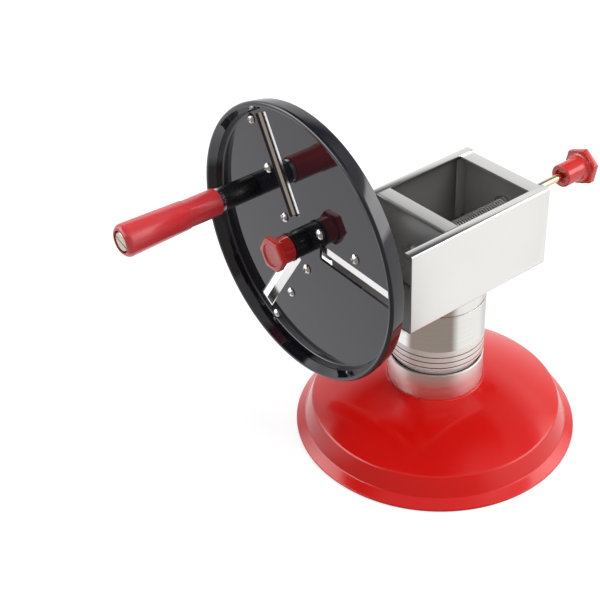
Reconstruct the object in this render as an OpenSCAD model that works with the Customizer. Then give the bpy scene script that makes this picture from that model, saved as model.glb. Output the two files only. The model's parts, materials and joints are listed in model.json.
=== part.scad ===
// Hand-cranked rotary slicer for potatoes on a twist-lock suction base.
// +Z is up, the crank side is -Y, and the origin is the centre of the footprint.

/* [Base] */
// Outer diameter of the pressed base
base_d = 220; // [200:1:260]
// Height of the turned edge round the flange
edge_h = 1.4; // [1.2:0.1:3]
// Width of the sloping flange
flange_w = 7.5; // [3.5:0.5:8]
// Rise of the sloping flange
flange_rise = 4; // [2:0.2:4]
// Distance from the base's edge to the shoulder where the dome starts
shoulder_in = 15; // [13:0.5:22]
// Height of that shoulder over the table
shoulder_z = 23; // [18:1:30]
// Diameter of the flat crown that carries the column
crown_d = 76; // [76:0.5:100]
// Height of the crown over the table
crown_z = 45.2; // [42:0.2:56]
// Step between the dome and the crown
crown_step = 1; // [1:0.1:2.5]
// Sheet thickness of the base
base_t = 1.5; // [1:0.1:2]

/* [Suction pad] */
// Thickness of the rubber lip under the flange
lip_t = 1.2; // [0.8:0.1:2]
// Distance from the flange's edge to the lip's edge
lip_inset = 0.6; // [0:0.1:1.4]
// Thickness of the rubber disc
pad_t = 3; // [2.2:0.1:3.6]
// Distance from the flange's edge to the thick part of the disc
pad_inset = 8.5; // [8:0.5:20]
// Diameter of the steel plate on the rubber
pad_plate_d = 56; // [30:1:90]
// Thickness of the steel plate
pad_plate_t = 2.5; // [1.5:0.1:4]

/* [Column] */
// Outer diameter of the collar and the column
tube_d = 73.4; // [70:0.2:75]
// Wall of the collar and the column
tube_wall = 1.4; // [1:0.1:2]
// Height of the fixed collar
collar_h = 23.5; // [20:0.5:34]
// Open gap between the collar and the turning column
neck_gap = 4.5; // [2:0.5:8]
// Height of the turning column
tube_h = 49; // [44:0.5:80]
// Height of the cap between the column and the hopper
cap_h = 14.5; // [10:0.5:30]
// Depth of the cap's spigot in the column
spigot_h = 12; // [6:0.5:16]
// Wall of the cap
cap_wall = 3; // [2:0.2:5]
// Number of rolled grooves
groove_count = 3; // [1:1:3]
// Height of the first groove over the column's foot
groove_first = 2.7; // [2:0.1:4]
// Distance between two grooves
groove_pitch = 4.85; // [3:0.05:5.5]
// Width of a groove
groove_w = 1.3; // [0.6:0.1:2]
// Depth of a groove
groove_depth = 0.7; // [0.3:0.1:0.9]

/* [Neck and lift screw] */
// Outer diameter of the neck that turns in the collar
neck_d = 67.8; // [60:0.2:68]
// Wall of the neck
neck_wall = 3.4; // [2.5:0.1:5]
// Thickness of the flange that keeps the neck in the collar
neck_flange_t = 2.5; // [2:0.1:4]
// Height of the neck's head inside the column
neck_head_h = 18; // [12:0.5:24]
// Thickness of the web that holds the nut
web_t = 6; // [4:0.5:10]
// Thickness of the thrust washer under the neck
washer_t = 1; // [0.5:0.1:2]
// Diameter of the lift screw
screw_d = 12; // [10:0.5:14]
// Distance across the flats of the lift screw's foot
screw_flats = 9.6; // [8:0.2:9.8]
// Length of the screw over the neck's web
screw_over = 6; // [2:0.5:9]
// Outer diameter of the brass nut
nut_d = 24; // [20:0.5:28]
// Thickness of the brass nut's flange
nut_flange_t = 2; // [1.5:0.1:3]

/* [Hopper] */
// Outer width of the hopper
hopper_w = 84.6; // [80:0.2:96]
// Length of the hopper
hopper_l = 134; // [120:1:160]
// Distance from the column's axis to the hopper's mouth
hopper_reach = 66; // [56:0.5:70]
// Height of the hopper
hopper_h = 64.5; // [58:0.5:80]
// Sheet thickness of the hopper
hopper_t = 1.2; // [0.8:0.1:1.6]
// Radius of the hopper's bends
hopper_bend_r = 1.8; // [1.7:0.1:3]
// Width of the lips along the sides
lip_w = 7.1; // [5:0.1:9]
// Width of the lip along the rear
rear_lip_w = 12.8; // [8:0.2:16]
// Width of the rear wall's side flanges
ear_w = 10; // [6:0.5:12]

/* [Pusher] */
// Distance from the mouth to the pusher's face
pusher_back = 36.9; // [20:0.1:50]
// Sheet thickness of the pusher
pusher_t = 1.2; // [1:0.1:2]
// Width of the pusher's top lip
pusher_lip_w = 12.6; // [8:0.2:16]
// Width of the pusher's bottom lip
pusher_foot_w = 9; // [6:0.5:12]
// Side clearance of the pusher in the hopper
pusher_play = 0.5; // [0.3:0.1:1]
// Diameter of the pusher's rod
rod_d = 6; // [5:0.1:7]
// Length of the rod from the pusher's face
rod_l = 178; // [176:1:190]
// Outer diameter of the spring
spring_d = 12; // [10.5:0.5:15]
// Wire diameter of the spring
wire_d = 1.2; // [0.8:0.1:1.6]
// Diameter of the bush's flange
bush_flange_d = 16; // [14:0.5:20]
// Length of the bush behind the rear wall
bush_tail = 4; // [2:0.5:10]

/* [Disc] */
// Outer diameter of the disc at its lip
disc_d = 216.8; // [200:0.2:230]
// Width of the rim round the flat face
rim_w = 7.9; // [7.5:0.1:9.5]
// Sheet thickness of the face
face_t = 2; // [1.5:0.1:3]
// Thickness of the rim's wall
rim_t = 1.5; // [1:0.1:1.8]
// Height of the rim over the face
rim_h = 11.3; // [8:0.1:14]
// Gap between the disc's back and the hopper's mouth
disc_gap = 7.2; // [6:0.1:10]
// Distance from the column's axis to the disc's axis
disc_x = 63; // [60:0.5:72]
// Height of the disc's axis over the hopper's floor
axle_h = 31.3; // [26:0.1:34]
// Diameter of the axle
axle_d = 10; // [8:0.5:12]
// Diameter of the hub in front of the disc
hub_d = 20.5; // [16:0.5:24]
// Length of the hub in front of the disc
hub_l = 13.2; // [8:0.1:16]
// Diameter of the hub's part inside the disc
hub_core_d = 16; // [14.5:0.5:17]

/* [Blades] */
// Direction of the first blade, counter-clockwise from +X
blade_angle = 116.8; // [90:0.1:140]
// Number of blades
blade_count = 3; // [3:1:3]
// Distance from the blade's inner end to the slot
slot_inner = 4.5; // [3:0.5:8]
// Distance from the slot to the blade's outer end
slot_outer = 1.5; // [1:0.5:4]
// Width of the slots
slot_w = 14; // [10:0.5:15]
// Slot's far edge from the blade's centre line
slot_edge = 6.3; // [4:0.1:7]
// Distance from the axis to the blade's inner end
blade_start = 14; // [12:0.5:18]
// Distance from the blade's outer end to the disc's rim
blade_end = 1.5; // [1:0.5:8]
// Thickness of the blades
blade_t = 1.5; // [1:0.1:1.5]
// Width of the blade's root under the disc
root_w = 14; // [12:0.5:15]
// Cut thickness that the blade's step sets
slice_t = 1.5; // [0.8:0.1:1.5]
// Cutting edge from the blade's centre line
edge_at = 2; // [0:0.1:3]
// Diameter of the blade screws
blade_screw_d = 4; // [3:0.5:5]
// Diameter of the blade screws' heads
blade_head_d = 7.6; // [6:0.1:7.6]
// Height of the blade screws' heads
blade_head_h = 2; // [1.5:0.1:2.6]

/* [Crank] */
// Distance from the disc's axis to the crank pin
crank_r = 62.7; // [50:0.1:80]
// Direction of the crank pin, counter-clockwise from +X
crank_angle = 161.1; // [150:0.1:170]
// Diameter of the black spacer
spacer_d = 18; // [16:0.2:22]
// Length of the black spacer
spacer_l = 31.1; // [20:0.1:40]
// Thickness of the washer under the grip
crank_washer_t = 2.9; // [1.5:0.1:4]
// Diameter of the crank pin
pin_d = 8; // [6:0.5:10]
// Thread diameter of the pin's end
pin_thread_d = 6; // [5:0.5:6]
// Diameter of the grip at its free end
grip_d = 25.2; // [22:0.1:32]
// Length of the grip
grip_l = 83.3; // [70:0.1:110]
// Length of the grip's thinner part
grip_neck_l = 28; // [20:0.1:45]
// Step in the grip's radius
grip_step = 0.6; // [0.2:0.1:1.5]
// Loss in the grip's radius from its free end to the step
grip_taper = 1.5; // [0:0.1:2]
// Diameter of the recess in the grip's end
grip_recess_d = 17; // [15.5:0.1:18]
// Depth of the recess in the grip's end
grip_recess_h = 5; // [4.5:0.1:8]

/* [Knobs] */
// Corner radius of the front knob's hexagon
front_head_r = 13.6; // [12.6:0.1:16]
// Thickness of the front knob's hexagon
front_head_t = 6; // [4:0.1:9]
// Length of the front knob's neck
front_neck_l = 9.9; // [9:0.1:18]
// Diameter of the front knob's neck
front_neck_d = 20.6; // [16:0.2:22]
// Corner radius of the rear knob's hexagon
rear_head_r = 15.7; // [14:0.1:18]
// Thickness of the rear knob's hexagon
rear_head_t = 5.6; // [4:0.1:9]
// Length of the rear knob's neck
rear_neck_l = 21.3; // [16:0.1:30]
// Diameter of the rear knob's neck
rear_neck_d = 18.4; // [16:0.2:22]
// Turn of the rear knob about its rod
rear_knob_turn = 39; // [0:1:59]

/* [Axle bracket] */
// Sheet thickness of the bracket
bracket_t = 3; // [2:0.2:4]
// Distance between the bracket's outer faces
bracket_l = 40; // [34:0.5:60]
// Height of the bracket
bracket_h = 26; // [24:0.5:30]
// Set-back of the bracket's front cheek from the disc's back
cheek_back = 7.7; // [7.4:0.1:10]

/* [Hidden] */

$fn = 96;
edge = 0.5;         // chamfer of turned edges
fit = 0.05;         // radial clearance of fixed and running fits
face_play = 0.1;    // clearance between faces that slide on each other
flange_play = 0.3;  // radial clearance of turning flanges that fit nothing
cut = 1;            // overrun of a cut past a face
bend_steps = 4;     // straight steps in a bend of sheet metal
dome_steps = 10;    // straight steps in the dome
dome_head_steps = 6; // straight steps in the dome of a screw head

// Heights of the column, from the table up
base_r = base_d / 2;
crown_r = crown_d / 2;
shoulder_r = base_r - shoulder_in;
tube_r = tube_d / 2;
tube_bore_r = tube_r - tube_wall;
neck_r = neck_d / 2;
neck_bore_r = neck_r - neck_wall;
collar_flange_t = base_t;
flange_bend_r = 1;
collar_top = crown_z + collar_h;
tube_z = collar_top + neck_gap;
tube_top = tube_z + tube_h;
hopper_z = tube_top + cap_h;
hopper_top = hopper_z + hopper_h;
washer_z = crown_z + collar_flange_t;
neck_z = washer_z + washer_t;
neck_flange_r = tube_bore_r - flange_play;
head_z = tube_z + tube_wall;
head_top = head_z + neck_head_h;
web_z = head_top - web_t;

// Lift screw and its guide
screw_r = screw_d / 2;
guide_wall = 3.5;
guide_r = screw_r + guide_wall;
guide_flange_w = 4;
guide_flange_r = guide_r + guide_flange_w;
guide_flange_t = 2;
collar_hole_r = guide_flange_r + flange_play;
collar_screw_at = (collar_hole_r + neck_bore_r) / 2;
collar_screw_r = 2;
collar_head_r = 3.4;
collar_head_h = 1.6;
screw_top = head_top + nut_flange_t + screw_over;
lift_travel = 5;
boss_h = 6;
boss_wall = 4;
nut_skirt = 4;
nut_flange_w = 4;

// Hopper, from the mouth to the rear wall
mouth_y = -hopper_reach;
rear_y = mouth_y + hopper_l;
side_x = hopper_w / 2;
inner_x = side_x - hopper_t;
floor_z = hopper_z + hopper_t;
rear_inner_y = rear_y - hopper_t;
ear_drop = 6;
rivet_r = 2;
rivet_head_r = 3.6;
rivet_head_h = 1.2;
cap_screw_r = 2;
cap_screw_head_r = cap_screw_r + hopper_t;
cap_screw_at = 22;
cap_plate_t = 4;
cap_inset = 0.2;

// Pusher, rod and spring
rod_r = rod_d / 2;
rod_z = hopper_z + hopper_h / 2;
push_y = mouth_y + pusher_back;
rod_head_w = 3;
rod_head_r = rod_r + rod_head_w;
rod_head_t = 1.4;
rod_nut_af = 10;
rod_nut_t = 5;
seat_t = 1.2;
seat_w = 1.5;
seat_r = spring_d / 2 + seat_w;
bush_wall = 1.4;
bush_r = rod_r + bush_wall;
bush_flange_t = 2;
nut_y = push_y + pusher_t;
seat_y = nut_y + rod_nut_t;
spring_y = seat_y + seat_t;
spring_end_y = rear_inner_y - bush_flange_t;
rod_into_head = 2;
rod_tip_play = 0.5;
rear_knob_y = push_y + rod_l - rear_neck_l + rod_into_head;
rear_mouth_w = 2.4;
rear_mouth_r = rod_r + rear_mouth_w;
rear_dish_r = 10;

// Distances in front of the column's axis, along the disc's axis
back_f = hopper_reach + disc_gap;
face_f = back_f + face_t;
hub_f = face_f + hub_l;
washer_f = hub_f + face_play;
knob_washer_t = 1;
knob_f = washer_f + knob_washer_t;
hub_flange_t = 3;
hub_flange_w = 3.3;
hub_flange_r = hub_core_d / 2 + hub_flange_w;
hub_back_f = back_f - hub_flange_t;
collar_f = hub_back_f - face_play;
cheek_f = back_f - cheek_back;
axle_r = axle_d / 2;
axle_collar_w = 4;
axle_collar_r = axle_r + axle_collar_w;
axle_z = hopper_z + axle_h;
axle_washer_t = 1.5;
axle_collar_f = collar_f - axle_washer_t;
axle_nut_t = 6;
axle_nut_af = 17;
axle_tail = 2;
bore_tip = 5.7;
front_dish_r = 8.8;
knob_washer_over = 0.5;

// Rim of the disc
face_r = disc_d / 2 - rim_w;
rim_wall_h = 5.4;
rim_lean = 1;
rim_foot_r = 1;
rim_taper = 1.5;
rim_back = 1.2;
lip_round = 2.4;

// Bracket between the hopper's far wall and the axle
bracket_reach = disc_x - side_x;
bracket_inner_r = 1;
bracket_bend_r = bracket_t + bracket_inner_r;
bracket_screw_r = 2;
bracket_nut_af = 7;
bracket_nut_t = 2.6;
bracket_screw_in_y = 10;
bracket_screw_in_z = 6;
bracket_screw_dy = bracket_l / 2 - bracket_screw_in_y;
bracket_screw_dz = bracket_h / 2 - bracket_screw_in_z;

// Crank and grip
pin_r = pin_d / 2;
spacer_f = face_f + spacer_l;
grip_f = spacer_f + crank_washer_t + face_play;
grip_end_f = grip_f + grip_l;
grip_r = grip_d / 2;
crank_washer_over = 0.4;
grip_floor_f = grip_end_f - grip_recess_h;
pin_washer_t = 1;
pin_head_t = 3;
pin_head_r = 7.4;
pin_head_f = grip_floor_f + face_play + pin_washer_t;
pin_slot_w = 1.4;
pin_slot_h = 1;
crank_nut_af = 10;
crank_nut_t = 3;
grip_round = 5;

// Blades
blade_l = face_r - blade_start - blade_end;
slot_start = blade_start + slot_inner;
slot_l = blade_l - slot_inner - slot_outer;
root_gap = 0.5;
root_at = slot_w - slot_edge + root_gap;
step_w = 3;
bend_shift = 0.4;
bevel_w = 3;
screw_at = root_at + root_w / 2;
screw_in = 4.5;
screw_shift = 0.5;
screw_row = [
    blade_start + screw_in, blade_start + blade_l / 2 + screw_shift, blade_start + blade_l - screw_in
];

// Sheet metal: a profile is a list of points, shifted sideways by the sheet's thickness.
function side_normal(a, b) = let (d = b - a) [d.y, -d.x] / norm(d);

function shifted(p, t) = let (last = len(p) - 1) [
    for (i = [0:last])
        let (
            n1 = side_normal(p[max(i - 1, 0)], p[max(i, 1)]),
            n2 = side_normal(p[min(i, last - 1)], p[min(i + 1, last)]),
            m = n1 + n2
        )
        p[i] + m * (2 * t / (m * m))
];

function reversed(p) = [for (i = [len(p) - 1:-1:0]) p[i]];

function arc(centre, r, start, turn, steps) = [
    for (i = [0:steps])
        let (a = start + turn * i / steps)
        centre + r * [cos(a), sin(a)]
];

function bend(a, b, c, r) =
    let (
        u = (a - b) / norm(a - b),
        v = (c - b) / norm(c - b),
        half = acos(u * v) / 2,
        centre = b + (u + v) / norm(u + v) * r / sin(half),
        from = b + u * r / tan(half) - centre,
        to = b + v * r / tan(half) - centre,
        start = atan2(from.y, from.x),
        whole = atan2(to.y, to.x) - start,
        turn = whole > 180 ? whole - 360 : whole < -180 ? whole + 360 : whole
    )
    arc(centre, r, start, turn, bend_steps);

function bent(p, r) = concat(
    [p[0]],
    [for (i = [1:len(p) - 2]) each bend(p[i - 1], p[i], p[i + 1], r)],
    [p[len(p) - 1]]
);

module sheet(p, t) {
    polygon(concat(p, reversed(shifted(p, t))));
}

// Frames of reference: +Z of a child points forward along the disc's or the crank's axis,
// or to the rear along the rod.
module on_disc() {
    translate([-disc_x, 0, axle_z]) rotate([90, 0, 0]) children();
}

module on_crank() {
    on_disc() rotate([0, 0, crank_angle]) translate([crank_r, 0, 0]) children();
}

module on_rod() {
    translate([0, 0, rod_z]) rotate([-90, 0, 0]) children();
}

module on_blade(i) {
    on_disc() rotate([0, 0, blade_angle - i * 360 / blade_count]) children();
}

module ring(outer_r, inner_r, from, h) {
    translate([0, 0, from])
        difference() {
            cylinder(r = outer_r, h = h);
            translate([0, 0, -cut]) cylinder(r = inner_r, h = h + 2 * cut);
        }
}

module hex_nut(af, bore_r, from, h) {
    translate([0, 0, from])
        difference() {
            cylinder(r = af / sqrt(3), h = h, $fn = 6);
            translate([0, 0, -cut]) cylinder(r = bore_r, h = h + 2 * cut);
        }
}

module around(count, at, start = 0) {
    for (i = [0:count - 1])
        rotate([0, 0, start + i * 360 / count]) translate([at, 0, 0]) children();
}

// Domed screw head that sits on the plane z = 0
module domed_head(r, h) {
    ball_r = (r * r + h * h) / (2 * h);
    start = asin((ball_r - h) / ball_r);
    rotate_extrude()
        polygon(concat(
            [[0, 0]],
            arc([0, h - ball_r], ball_r, start, 90 - start, dome_head_steps)
        ));
}

// Hexagonal knob: the neck starts at z = 0 and the head is at its far end.
module knob(neck_r, neck_l, head_r, head_t, bore_r, bore_l, mouth_r, dish_r) {
    chamfer = 1.2;
    foot_edge = 0.6;
    flare_inset = 0.1;
    flare_r = head_r * cos(30) - neck_r - flare_inset;
    mouth_h = 2.5;
    dish_h = 1.2;
    difference() {
        union() {
            rotate_extrude()
                polygon(concat(
                    [[0, 0], [neck_r - foot_edge, 0], [neck_r, foot_edge]],
                    arc([neck_r + flare_r, neck_l - flare_r], flare_r, 180, -90, bend_steps),
                    [[0, neck_l]]
                ));
            translate([0, 0, neck_l])
                intersection() {
                    cylinder(r = head_r, h = head_t, $fn = 6);
                    rotate_extrude()
                        polygon([
                            [0, 0], [head_r - chamfer, 0], [head_r - chamfer / 2, chamfer],
                            [head_r - chamfer / 2, head_t - chamfer],
                            [head_r - chamfer * 1.5, head_t], [0, head_t]
                        ]);
                }
        }
        translate([0, 0, -cut]) cylinder(r = bore_r, h = bore_l + cut);
        translate([0, 0, -cut]) cylinder(r = mouth_r, h = mouth_h + cut);
        translate([0, 0, neck_l + head_t - dish_h]) cylinder(r = dish_r, h = dish_h + cut);
    }
}

// Base

module base_shell() {
    foot_z = crown_z - crown_step;
    foot_r = crown_r + crown_step;
    centre_z = (shoulder_r ^ 2 + shoulder_z ^ 2 - foot_r ^ 2 - foot_z ^ 2) / (2 * (shoulder_z - foot_z));
    ball_r = norm([shoulder_r, shoulder_z - centre_z]);
    start = atan2(shoulder_z - centre_z, shoulder_r);
    turn = atan2(foot_z - centre_z, foot_r) - start;
    flange_z = lip_t + edge_h + flange_rise;
    side = bent([
        [base_r, lip_t], [base_r, lip_t + edge_h], [base_r - flange_w, flange_z],
        [shoulder_r, shoulder_z], arc([0, centre_z], ball_r, start, turn, dome_steps)[1]
    ], flange_bend_r);
    dome = arc([0, centre_z], ball_r, start, turn, dome_steps);
    outer = concat(
        [for (i = [0:len(side) - 2]) side[i]],
        [for (i = [1:dome_steps]) dome[i]],
        [[crown_r, crown_z], [guide_r + fit, crown_z]]
    );
    color("firebrick")
        difference() {
            rotate_extrude($fn = 128) sheet(outer, -base_t);
            translate([0, 0, crown_z - crown_step - base_t - cut])
                around(3, collar_screw_at)
                    cylinder(r = collar_screw_r + fit, h = crown_step + base_t + 2 * cut, $fn = 32);
        }
}

module base_collar() {
    color("silver")
        difference() {
            rotate_extrude()
                polygon([
                    [collar_hole_r, crown_z], [tube_r, crown_z], [tube_r, collar_top - edge],
                    [tube_r - edge, collar_top], [tube_bore_r, collar_top],
                    [tube_bore_r, crown_z + collar_flange_t],
                    [collar_hole_r, crown_z + collar_flange_t]
                ]);
            translate([0, 0, crown_z - cut])
                around(3, collar_screw_at)
                    cylinder(r = collar_screw_r + fit, h = collar_flange_t + 2 * cut, $fn = 32);
        }
}

module collar_screws() {
    nut_af = 7;
    nut_t = 3;
    color("gainsboro")
        around(3, collar_screw_at) {
            translate([0, 0, washer_z]) cylinder(r = collar_head_r, h = collar_head_h, $fn = 32);
            translate([0, 0, crown_z - base_t - nut_t])
                cylinder(r = collar_screw_r, h = base_t + nut_t + collar_flange_t, $fn = 32);
            hex_nut(nut_af, collar_screw_r, crown_z - base_t - nut_t, nut_t);
        }
}

module flatted(r, flats, from, h) {
    translate([0, 0, from])
        intersection() {
            cylinder(r = r, h = h);
            translate([-r, -flats / 2, 0]) cube([2 * r, flats, h]);
        }
}

module guide_bush() {
    drop = 10;
    color("dimgray")
        difference() {
            union() {
                translate([0, 0, crown_z - drop]) cylinder(r = guide_r, h = drop);
                translate([0, 0, crown_z]) cylinder(r = guide_flange_r, h = guide_flange_t);
            }
            flatted(screw_r + fit, screw_flats + face_play, crown_z - drop - cut,
                drop + guide_flange_t + 2 * cut);
        }
}

module thrust_washer() {
    color("ivory") ring(tube_bore_r - flange_play, neck_bore_r + flange_play, washer_z, washer_t);
}

module swivel_bush() {
    from = neck_z + neck_flange_t + face_play;
    color("black") ring(tube_bore_r - fit, neck_r + fit, from, collar_top - edge - from);
}

module suction_pad() {
    color("darkslategray")
        rotate_extrude($fn = 128)
            polygon([
                [0, 0], [base_r - lip_inset, 0], [base_r - lip_inset, lip_t],
                [base_r - pad_inset + pad_t - lip_t, lip_t], [base_r - pad_inset, pad_t], [0, pad_t]
            ]);
}

// Lift

module pad_plate() {
    color("gainsboro")
        difference() {
            union() {
                translate([0, 0, pad_t]) cylinder(r = pad_plate_d / 2, h = pad_plate_t);
                translate([0, 0, pad_t + pad_plate_t]) cylinder(r = screw_r + boss_wall, h = boss_h);
            }
            translate([0, 0, pad_t - cut]) cylinder(r = screw_r + fit, h = pad_plate_t + boss_h + 2 * cut);
        }
}

module lift_screw() {
    foot_top = pad_t + pad_plate_t + boss_h;
    flat_top = crown_z + guide_flange_t + lift_travel;
    chamfer = 1;
    color("lightgray") {
        translate([0, 0, pad_t]) cylinder(r = screw_r, h = foot_top - pad_t);
        flatted(screw_r, screw_flats, foot_top, flat_top - foot_top);
        translate([0, 0, flat_top]) cylinder(r = screw_r, h = screw_top - flat_top - chamfer);
        translate([0, 0, screw_top - chamfer]) cylinder(r1 = screw_r, r2 = screw_r - chamfer, h = chamfer);
    }
}

// Turning column

module post_neck() {
    color("slategray")
        rotate_extrude()
            polygon([
                [neck_bore_r, neck_z], [neck_flange_r, neck_z],
                [neck_flange_r, neck_z + neck_flange_t], [neck_r, neck_z + neck_flange_t],
                [neck_r, head_z], [tube_bore_r - fit, head_z], [tube_bore_r - fit, head_top],
                [nut_d / 2 + fit, head_top], [nut_d / 2 + fit, web_z], [neck_bore_r, web_z]
            ]);
}

module lift_nut() {
    color("goldenrod")
        difference() {
            union() {
                translate([0, 0, web_z - nut_skirt]) cylinder(r = nut_d / 2, h = web_t + nut_skirt);
                translate([0, 0, head_top]) cylinder(r = nut_d / 2 + nut_flange_w, h = nut_flange_t);
            }
            translate([0, 0, web_z - nut_skirt - cut])
                cylinder(r = screw_r + fit, h = web_t + nut_skirt + nut_flange_t + 2 * cut);
        }
}

module post_tube() {
    half = groove_w / 2;
    grooves = [
        for (i = [0:groove_count - 1])
            let (z = tube_z + groove_first + i * groove_pitch)
            each [[tube_r, z - half], [tube_r - groove_depth, z], [tube_r, z + half]]
    ];
    color("silver")
        rotate_extrude()
            polygon(concat(
                [[neck_r + fit, tube_z], [tube_r - edge, tube_z], [tube_r, tube_z + edge]],
                grooves,
                [[tube_r, tube_top - edge], [tube_r - edge, tube_top], [tube_bore_r, tube_top],
                 [tube_bore_r, head_z], [neck_r + fit, head_z]]
            ));
}

module post_cap() {
    cap_r = tube_r - cap_inset;
    spigot_r = tube_bore_r - fit;
    color("gainsboro")
        difference() {
            rotate_extrude()
                polygon([
                    [spigot_r - cap_wall, tube_top - spigot_h], [spigot_r, tube_top - spigot_h],
                    [spigot_r, tube_top], [cap_r - edge, tube_top], [cap_r, tube_top + edge],
                    [cap_r, hopper_z], [0, hopper_z], [0, hopper_z - cap_plate_t],
                    [spigot_r - cap_wall, hopper_z - cap_plate_t]
                ]);
            translate([0, 0, hopper_z - cap_plate_t - cut])
                around(4, cap_screw_at, 45)
                    cylinder(r = cap_screw_r + fit, h = cap_plate_t + 2 * cut, $fn = 32);
        }
}

module cap_screw_holes(play) {
    around(4, cap_screw_at, 45) {
        translate([0, 0, hopper_z])
            cylinder(r1 = cap_screw_r + play, r2 = cap_screw_head_r + play, h = hopper_t, $fn = 32);
    }
}

module cap_screws() {
    tip_over = 1.5;
    shank = cap_plate_t + tip_over;
    color("gainsboro")
        around(4, cap_screw_at, 45) {
            translate([0, 0, hopper_z])
                cylinder(r1 = cap_screw_r, r2 = cap_screw_head_r, h = hopper_t, $fn = 32);
            translate([0, 0, hopper_z - shank]) cylinder(r = cap_screw_r, h = shank, $fn = 32);
        }
}

// Hopper

module bracket_screw_places() {
    for (dy = [-1, 1], dz = [-1, 1])
        translate([-side_x, -cheek_f + bracket_l / 2 + dy * bracket_screw_dy, axle_z + dz * bracket_screw_dz])
            rotate([0, 90, 0]) children();
}

module wall_rivet_places() {
    for (sx = [-1, 1])
        translate([sx * hopper_w / 4, rear_inner_y - ear_w / 2, floor_z]) children();
}

module hopper_trough() {
    profile = bent([
        [side_x - lip_w, hopper_top], [side_x, hopper_top], [side_x, hopper_z],
        [-side_x, hopper_z], [-side_x, hopper_top], [lip_w - side_x, hopper_top]
    ], hopper_bend_r);
    color("silver")
        difference() {
            translate([0, rear_y, 0])
                rotate([90, 0, 0]) linear_extrude(height = hopper_l) sheet(profile, hopper_t);
            cap_screw_holes(fit);
            wall_rivet_places()
                translate([0, 0, -hopper_t - cut])
                    cylinder(r = rivet_r + fit, h = hopper_t + 2 * cut, $fn = 32);
            bracket_screw_places()
                cylinder(r1 = bracket_screw_r + fit, r2 = bracket_screw_r + hopper_t + fit,
                    h = hopper_t, $fn = 32);
        }
}

module rear_wall() {
    x = inner_x - fit;
    top = hopper_top - hopper_t;
    ear_top = top - ear_drop;
    ear_z = floor_z + ear_drop;
    corner = hopper_bend_r - hopper_t;
    color("silver")
        difference() {
            union() {
                translate([0, rear_y, 0])
                    rotate([90, 0, 0])
                        linear_extrude(height = hopper_t)
                            polygon([
                                [-x + corner, floor_z], [x - corner, floor_z], [x, floor_z + corner],
                                [x, top - corner], [x - corner, top], [-x + corner, top],
                                [-x, top - corner], [-x, floor_z + corner]
                            ]);
                translate([corner - x, rear_y - rear_lip_w, top - hopper_t])
                    cube([2 * (x - corner), rear_lip_w, hopper_t]);
                for (sx = [-x, x - hopper_t])
                    translate([sx, rear_inner_y - ear_w, ear_z])
                        cube([hopper_t, ear_w + hopper_t / 2, ear_top - ear_z]);
                translate([ear_drop - x, rear_inner_y - ear_w, floor_z])
                    cube([2 * x - 2 * ear_drop, ear_w + hopper_t / 2, hopper_t]);
            }
            on_rod() translate([0, 0, rear_inner_y - cut]) cylinder(r = bush_r + fit, h = hopper_t + 2 * cut);
            wall_rivet_places()
                translate([0, 0, -cut]) cylinder(r = rivet_r + fit, h = hopper_t + 2 * cut, $fn = 32);
        }
}

module wall_rivets() {
    color("gainsboro")
        wall_rivet_places() {
            translate([0, 0, -hopper_t]) cylinder(r = rivet_r, h = 2 * hopper_t, $fn = 32);
            translate([0, 0, hopper_t]) domed_head(rivet_head_r, rivet_head_h);
            translate([0, 0, -hopper_t]) mirror([0, 0, 1]) domed_head(rivet_head_r, rivet_head_h);
        }
}

module rod_bush() {
    color("gainsboro")
        on_rod() {
            ring(bush_flange_d / 2, rod_r + fit, spring_end_y, bush_flange_t);
            ring(bush_r, rod_r + fit, rear_inner_y, hopper_t + bush_tail);
        }
}

// Axle and its bracket

module axle_bracket() {
    front = -cheek_f;
    rear = front + bracket_l;
    profile = bent([
        [-disc_x - bracket_h / 2, front], [-side_x, front], [-side_x, rear],
        [-disc_x - bracket_h / 2, rear]
    ], bracket_bend_r);
    color("gray")
        difference() {
            intersection() {
                translate([0, 0, axle_z - bracket_h / 2])
                    linear_extrude(height = bracket_h) sheet(profile, -bracket_t);
                union() {
                    on_disc()
                        translate([0, 0, -rear - cut])
                            cylinder(r = bracket_h / 2, h = bracket_l + 2 * cut);
                    translate([-disc_x, front - cut, axle_z - bracket_h / 2])
                        cube([disc_x, bracket_l + 2 * cut, bracket_h]);
                }
            }
            on_disc() translate([0, 0, -rear - cut]) cylinder(r = axle_r + fit, h = bracket_l + 2 * cut);
            bracket_screw_places()
                translate([0, 0, -bracket_t - cut])
                    cylinder(r = bracket_screw_r + fit, h = bracket_t + 2 * cut, $fn = 32);
        }
}

module bracket_screws() {
    tip_over = 1;
    shank = bracket_t + bracket_nut_t + tip_over;
    color("gainsboro")
        bracket_screw_places() {
            cylinder(r1 = bracket_screw_r, r2 = bracket_screw_r + hopper_t, h = hopper_t, $fn = 32);
            translate([0, 0, -shank]) cylinder(r = bracket_screw_r, h = shank, $fn = 32);
        }
}

module bracket_nuts() {
    color("silver")
        bracket_screw_places()
            hex_nut(bracket_nut_af, bracket_screw_r + fit, -bracket_t - bracket_nut_t, bracket_nut_t);
}

module axle() {
    rear_f = cheek_f - bracket_l;
    tail_f = rear_f - axle_nut_t - axle_tail;
    tip_f = knob_f + front_neck_l - bore_tip;
    color("lightgray")
        on_disc() {
            translate([0, 0, tail_f]) cylinder(r = axle_r, h = tip_f - tail_f);
            translate([0, 0, cheek_f]) cylinder(r = axle_collar_r, h = axle_collar_f - cheek_f);
        }
}

module axle_nut() {
    color("silver")
        on_disc() hex_nut(axle_nut_af, axle_r + fit, cheek_f - bracket_l - axle_nut_t, axle_nut_t);
}

module axle_washer() {
    color("goldenrod") on_disc() ring(axle_collar_r, axle_r + fit, axle_collar_f, axle_washer_t);
}

module knob_washer() {
    color("white") on_disc() ring(front_neck_d / 2 + knob_washer_over, axle_r + fit, washer_f, knob_washer_t);
}

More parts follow.
